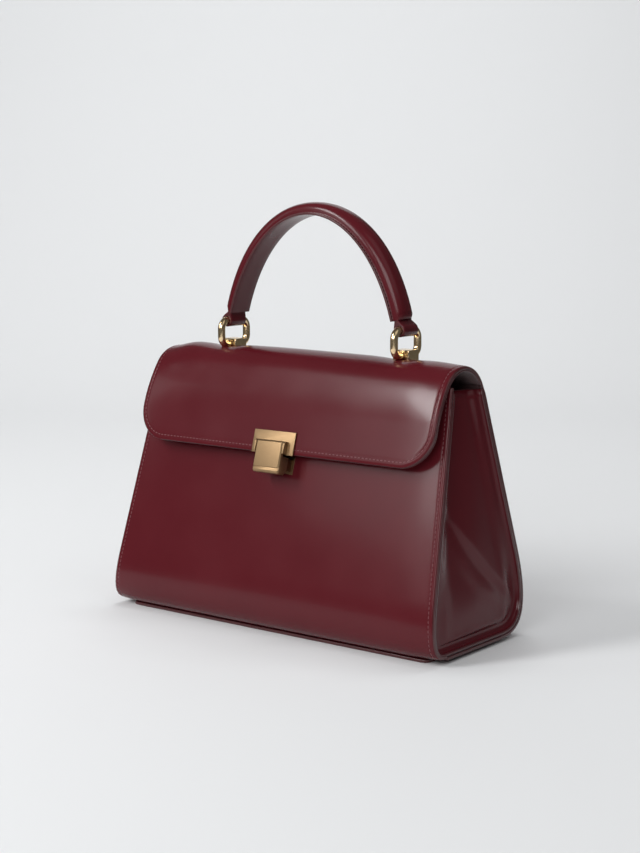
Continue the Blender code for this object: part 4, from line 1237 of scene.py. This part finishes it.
def stitch_group():
    sizes = dict(Path="Geometry", Pitch=PITCH, Length=STITCH_LENGTH, Width=THREAD_WIDTH)
    sizes["Thread"], result = "Material", dict(Stitches="Geometry")
    tree, add, sums, given = new_group("stitch_row", "Geometry", sizes, result)
    path, pitch, length, width, look = given
    turned = maker(tree, "FunctionNodeAlignRotation")
    even = add("ResampleCurve", add("MeshToCurve", path), mode="LENGTH", Length=pitch)
    ball = add("MeshUVSphere", 8, 6, 0.5)
    one = add("Transform", ball, Scale=sums("CombineXYZ", length, width, width))
    lie = turned("ToVector", Vector=add("InputTangent"), axis="X")
    way = add("InputNamedAttribute", "way_out", data_type="FLOAT_VECTOR")
    flat = turned("ToVector", lie, Vector=way, axis="Z", pivot_axis="X")
    rows = add("InstanceOnPoints", even, Instance=one, Rotation=flat)
    return end_group(tree, add, rows, look)


def path_mesh(name, lines):
    """Open paths as loose edges. Each line is (points, ways out), which become an attribute."""
    points, ways, edges = [], [], []
    for line, outs in lines:
        start = len(points)
        points += [tuple(p) for p in line]
        ways += [tuple(w) for w in outs]
        edges += [(start + k, start + k + 1) for k in range(len(line) - 1)]
    mesh = bpy.data.meshes.new(name)
    mesh.from_pydata(points, edges, [])
    attribute = mesh.attributes.new("way_out", "FLOAT_VECTOR", "POINT")
    attribute.data.foreach_set("vector", np.array(ways, np.float32).ravel())
    return mesh


def sew(name, lines, body, **sizes):
    """A row of stitches, with the tree's own sizes where none are given."""
    path = path_mesh(name + "_path", lines)
    mesh = modified(name, path, "NODES", {"Thread": thread, **sizes}, node_group=stitching)
    row = finish_object(name, mesh, (thread,), body)
    print(name, len(mesh.polygons), "faces")


stitching = stitch_group()
print("stitches:", STITCH_LENGTH, "m long at a pitch of", PITCH, "m")

# %% [markdown]
# The seams run down the sides of the front and the back, round the flap, and along both edges of
# the handle, where the thread is finer. All of them keep the same distance from the edge.

# %% Stitch rows
LINE_POINTS, SIDE_POINTS, CORNER_POINTS, ACROSS_POINTS = 200, 120, 24, 80
SEAM_TOP, FRONT_SEAM_END, BACK_SEAM_START, SEAM_CLEAR = 0.003, 0.012, 0.01, 0.002
HANDLE_STITCH = {"Pitch": 0.0026, "Length": 0.0019, "Width": 0.0005}
# How far the handle's thread stands out from the cover's foot and sinks in, and how it leans
THREAD_OUT, THREAD_SINK, THREAD_LEAN = 0.0002, 0.0001, 0.8


def side_lines(at, half_at, start, end):
    s = np.linspace(start, end, LINE_POINTS)
    half = np.array([half_at(value) for value in s]) - STITCH_INSET
    return [at(s, side * half) for side in (-1, 1)]


def flap_edge_line():
    """Down the flap's left side, round its lower corners and up its right side."""
    corner, low = FLAP_CORNER - STITCH_INSET, OVER_LENGTH - FLAP_CORNER
    s = list(np.linspace(HINGE_LENGTH + SEAM_CLEAR, low, SIDE_POINTS))
    x = [STITCH_INSET - FLAP_HALF] * len(s)
    for turn in np.linspace(0, pi / 2, CORNER_POINTS)[1:]:
        s.append(low + corner * sin(turn))
        x.append(FLAP_CORNER - FLAP_HALF - corner * cos(turn))
    across = list(np.linspace(x[-1], 0, ACROSS_POINTS)[1:])
    s += [s[-1]] * len(across)
    x += across
    return over_at(np.array(s + s[-2::-1]), np.array(x + [-value for value in x[-2::-1]]))


def handle_line(side):
    points, ways = [], []
    first = arch_turn(TAB_SHOW + SEAM_CLEAR)
    u, v = side * (HANDLE_HALF - FLANGE_WIDTH + THREAD_OUT), FLANGE_TOP - THREAD_SINK
    for turn in np.linspace(first, pi - first, LINE_POINTS):
        (x, z), (out_x, out_z) = arch_frame(turn)
        points.append((x + v * out_x, BAR_Y + u, z + v * out_z))
        way = np.array((out_x, side * THREAD_LEAN, out_z))
        ways.append(way / np.linalg.norm(way))
    return points, ways


front_end = front_line.length - FRONT_SEAM_END
sew("front_stitches", side_lines(front_at, front_half, SEAM_TOP, front_end), "bag")
sew("flap_stitches", [flap_edge_line()], "flap")
back_end = HINGE_LENGTH - SEAM_CLEAR
sew("back_stitches", side_lines(over_at, over_half, BACK_SEAM_START, back_end), "bag")
sew("handle_stitches", [handle_line(side) for side in (-1, 1)], "handle", **HANDLE_STITCH)

# %% [markdown]
# ## Camera
# The camera stands in front of the bag's right end, level with the top of the handle, and looks
# slightly down. Its place was found by matching the bag's outline and its corners.

# %% Camera
AZIMUTH, ELEVATION, DISTANCE = 37.76, 7.88, 1.1725
AIM = Vector((0.0053, 0.0, 0.1382))
FOCAL_PIXELS, LONG_SIDE, SENSOR = 1671.3, 853.0, 36.0


def toward(azimuth, elevation):
    """The way out from the bag, turned from the front and raised, in degrees."""
    turn, rise = radians(azimuth), radians(elevation)
    return Vector((sin(turn) * cos(rise), -cos(turn) * cos(rise), sin(rise)))


camera_data = bpy.data.cameras.new("camera")
camera_data.sensor_width = SENSOR
camera_data.lens = FOCAL_PIXELS * SENSOR / LONG_SIDE
camera = add_object("camera", camera_data)
away = toward(AZIMUTH, ELEVATION)
camera.location = AIM + away * DISTANCE
camera.rotation_euler = away.to_track_quat("Z", "Y").to_euler()
bpy.context.scene.camera = camera
print("lens", round(camera_data.lens, 2), "mm")

# %% [markdown]
# ## Floor
# A sheet of pale paper runs towards the camera and curves up behind the bag, so that no line
# parts the floor from the wall.

# %% Floor
FLOOR_WIDE, FLOOR_FRONT, FLOOR_BACK, SWEEP, WALL = 0.72, -1.6, 1.1, 1.0, 1.4
FLOOR_TURN, SWEEP_STEPS = radians(38.48), 24
profile = [(FLOOR_FRONT, 0.0), (FLOOR_BACK, 0.0)]
for turn in np.linspace(0, pi / 2, SWEEP_STEPS)[1:]:
    profile.append((FLOOR_BACK + SWEEP * sin(turn), SWEEP * (1 - cos(turn))))
profile.append((FLOOR_BACK + SWEEP, SWEEP + WALL))
along, across = cos(FLOOR_TURN), sin(FLOOR_TURN)
points = []
for x in (-FLOOR_WIDE, FLOOR_WIDE):
    points += [(x * along - y * across, x * across + y * along, z) for y, z in profile]
near, far = numbers(0, len(profile)), numbers(len(profile), len(profile))
floor_mesh = bpy.data.meshes.new("floor")
floor_mesh.from_pydata(points, [], list(zip(near[:-1], far[:-1], far[1:], near[1:])))
floor_mesh.shade_smooth()
paper, _, shader, _ = new_material("paper_sweep")
set_constants(shader, Base_Color=(0.78, 0.79, 0.8, 1), Roughness=0.9, Specular_IOR_Level=0.2)
floor_mesh.materials.append(paper)
floor = add_object("floor", floor_mesh)
print("paper:", 2 * FLOOR_WIDE, "m wide")

# %% [markdown]
# ## Light
# A narrow strip high on the left draws the long highlight down the front, and weaker panels below
# and beside it soften its edges. A wide panel in front of the right end lights the flap's end,
# and one on the right lights the gusset. The ceiling and the backdrop lamp light the paper and
# leave no reflection, and the room itself is dim.

# %% Light
LAMP_DISTANCE, SUBJECT = 2.2, Vector((0, 0, 0.12))
UPRIGHT = (0, 0, 1)
DIM_ROOM, PALE_ROOM = 0.1, 0.8


def soft_lamp(name, place, aim, size, power, long_way=UPRIGHT, mirrored=True):
    """A flat panel of light, its second size along long_way. It may leave no reflection."""
    data = bpy.data.lights.new(name, "AREA")
    data.shape, data.size, data.size_y, data.energy = "RECTANGLE", *size, power
    lamp = add_object(name, data)
    back = (Vector(place) - Vector(aim)).normalized()
    across = Vector(long_way).cross(back).normalized()
    lamp.matrix_world = Matrix((across, back.cross(across), back)).transposed().to_4x4()
    lamp.location = place
    lamp.visible_glossy = mirrored


def panel_at(name, azimuth, elevation, wide, high, power, **how):
    """A panel at the lamp distance that fills this many degrees, aimed at the bag."""
    size = [2 * LAMP_DISTANCE * tan(radians(angle / 2)) for angle in (wide, high)]
    place = SUBJECT + LAMP_DISTANCE * toward(azimuth, elevation)
    soft_lamp(name, place, SUBJECT, size, power, **how)


strip_way = toward(-40, 46) - toward(-22, 29)
panel_at("strip", -31, 37.5, 9, 22, 20.0, long_way=strip_way)
panel_at("low_strip", -22, 22, 8, 14, 4.5)
panel_at("low_left", -30, 17, 14, 12, 1.4)
panel_at("far_left", -58, 22, 10, 20, 1.5)
panel_at("left", -80, 45, 40, 40, 2.0, mirrored=False)
panel_at("front", 17, 24, 34, 20, 16.0)
panel_at("right", 75, 50, 40, 40, 4.0)
ceiling, ceiling_aim, lit_wall = (0, 0.1, 2.6), (0, 0.1, 0), (-1.3, 1.65, 0.6)
soft_lamp("ceiling", ceiling, ceiling_aim, (4.5, 4.5), 15.5, (0, 1, 0), mirrored=False)
soft_lamp("backdrop", (-0.2, 0.6, 2.4), lit_wall, (1.4, 0.6), 28.5, mirrored=False)
world = bpy.data.worlds.new("studio")
world.use_nodes = True
add, sky = maker(world.node_tree, "ShaderNode"), world.node_tree.nodes["Background"]
seen = add("LightPath").outputs["Is Camera Ray"]
walls = add("Mix", seen, None, DIM_ROOM, PALE_ROOM)
sky.inputs["Color"].default_value = (0.98, 0.99, 1.0, 1)
world.node_tree.links.new(walls.outputs[0], sky.inputs["Strength"])
bpy.context.scene.world = world
bpy.context.scene.view_settings.view_transform = "Standard"
print("lights:", [item.name for item in bpy.data.lights])
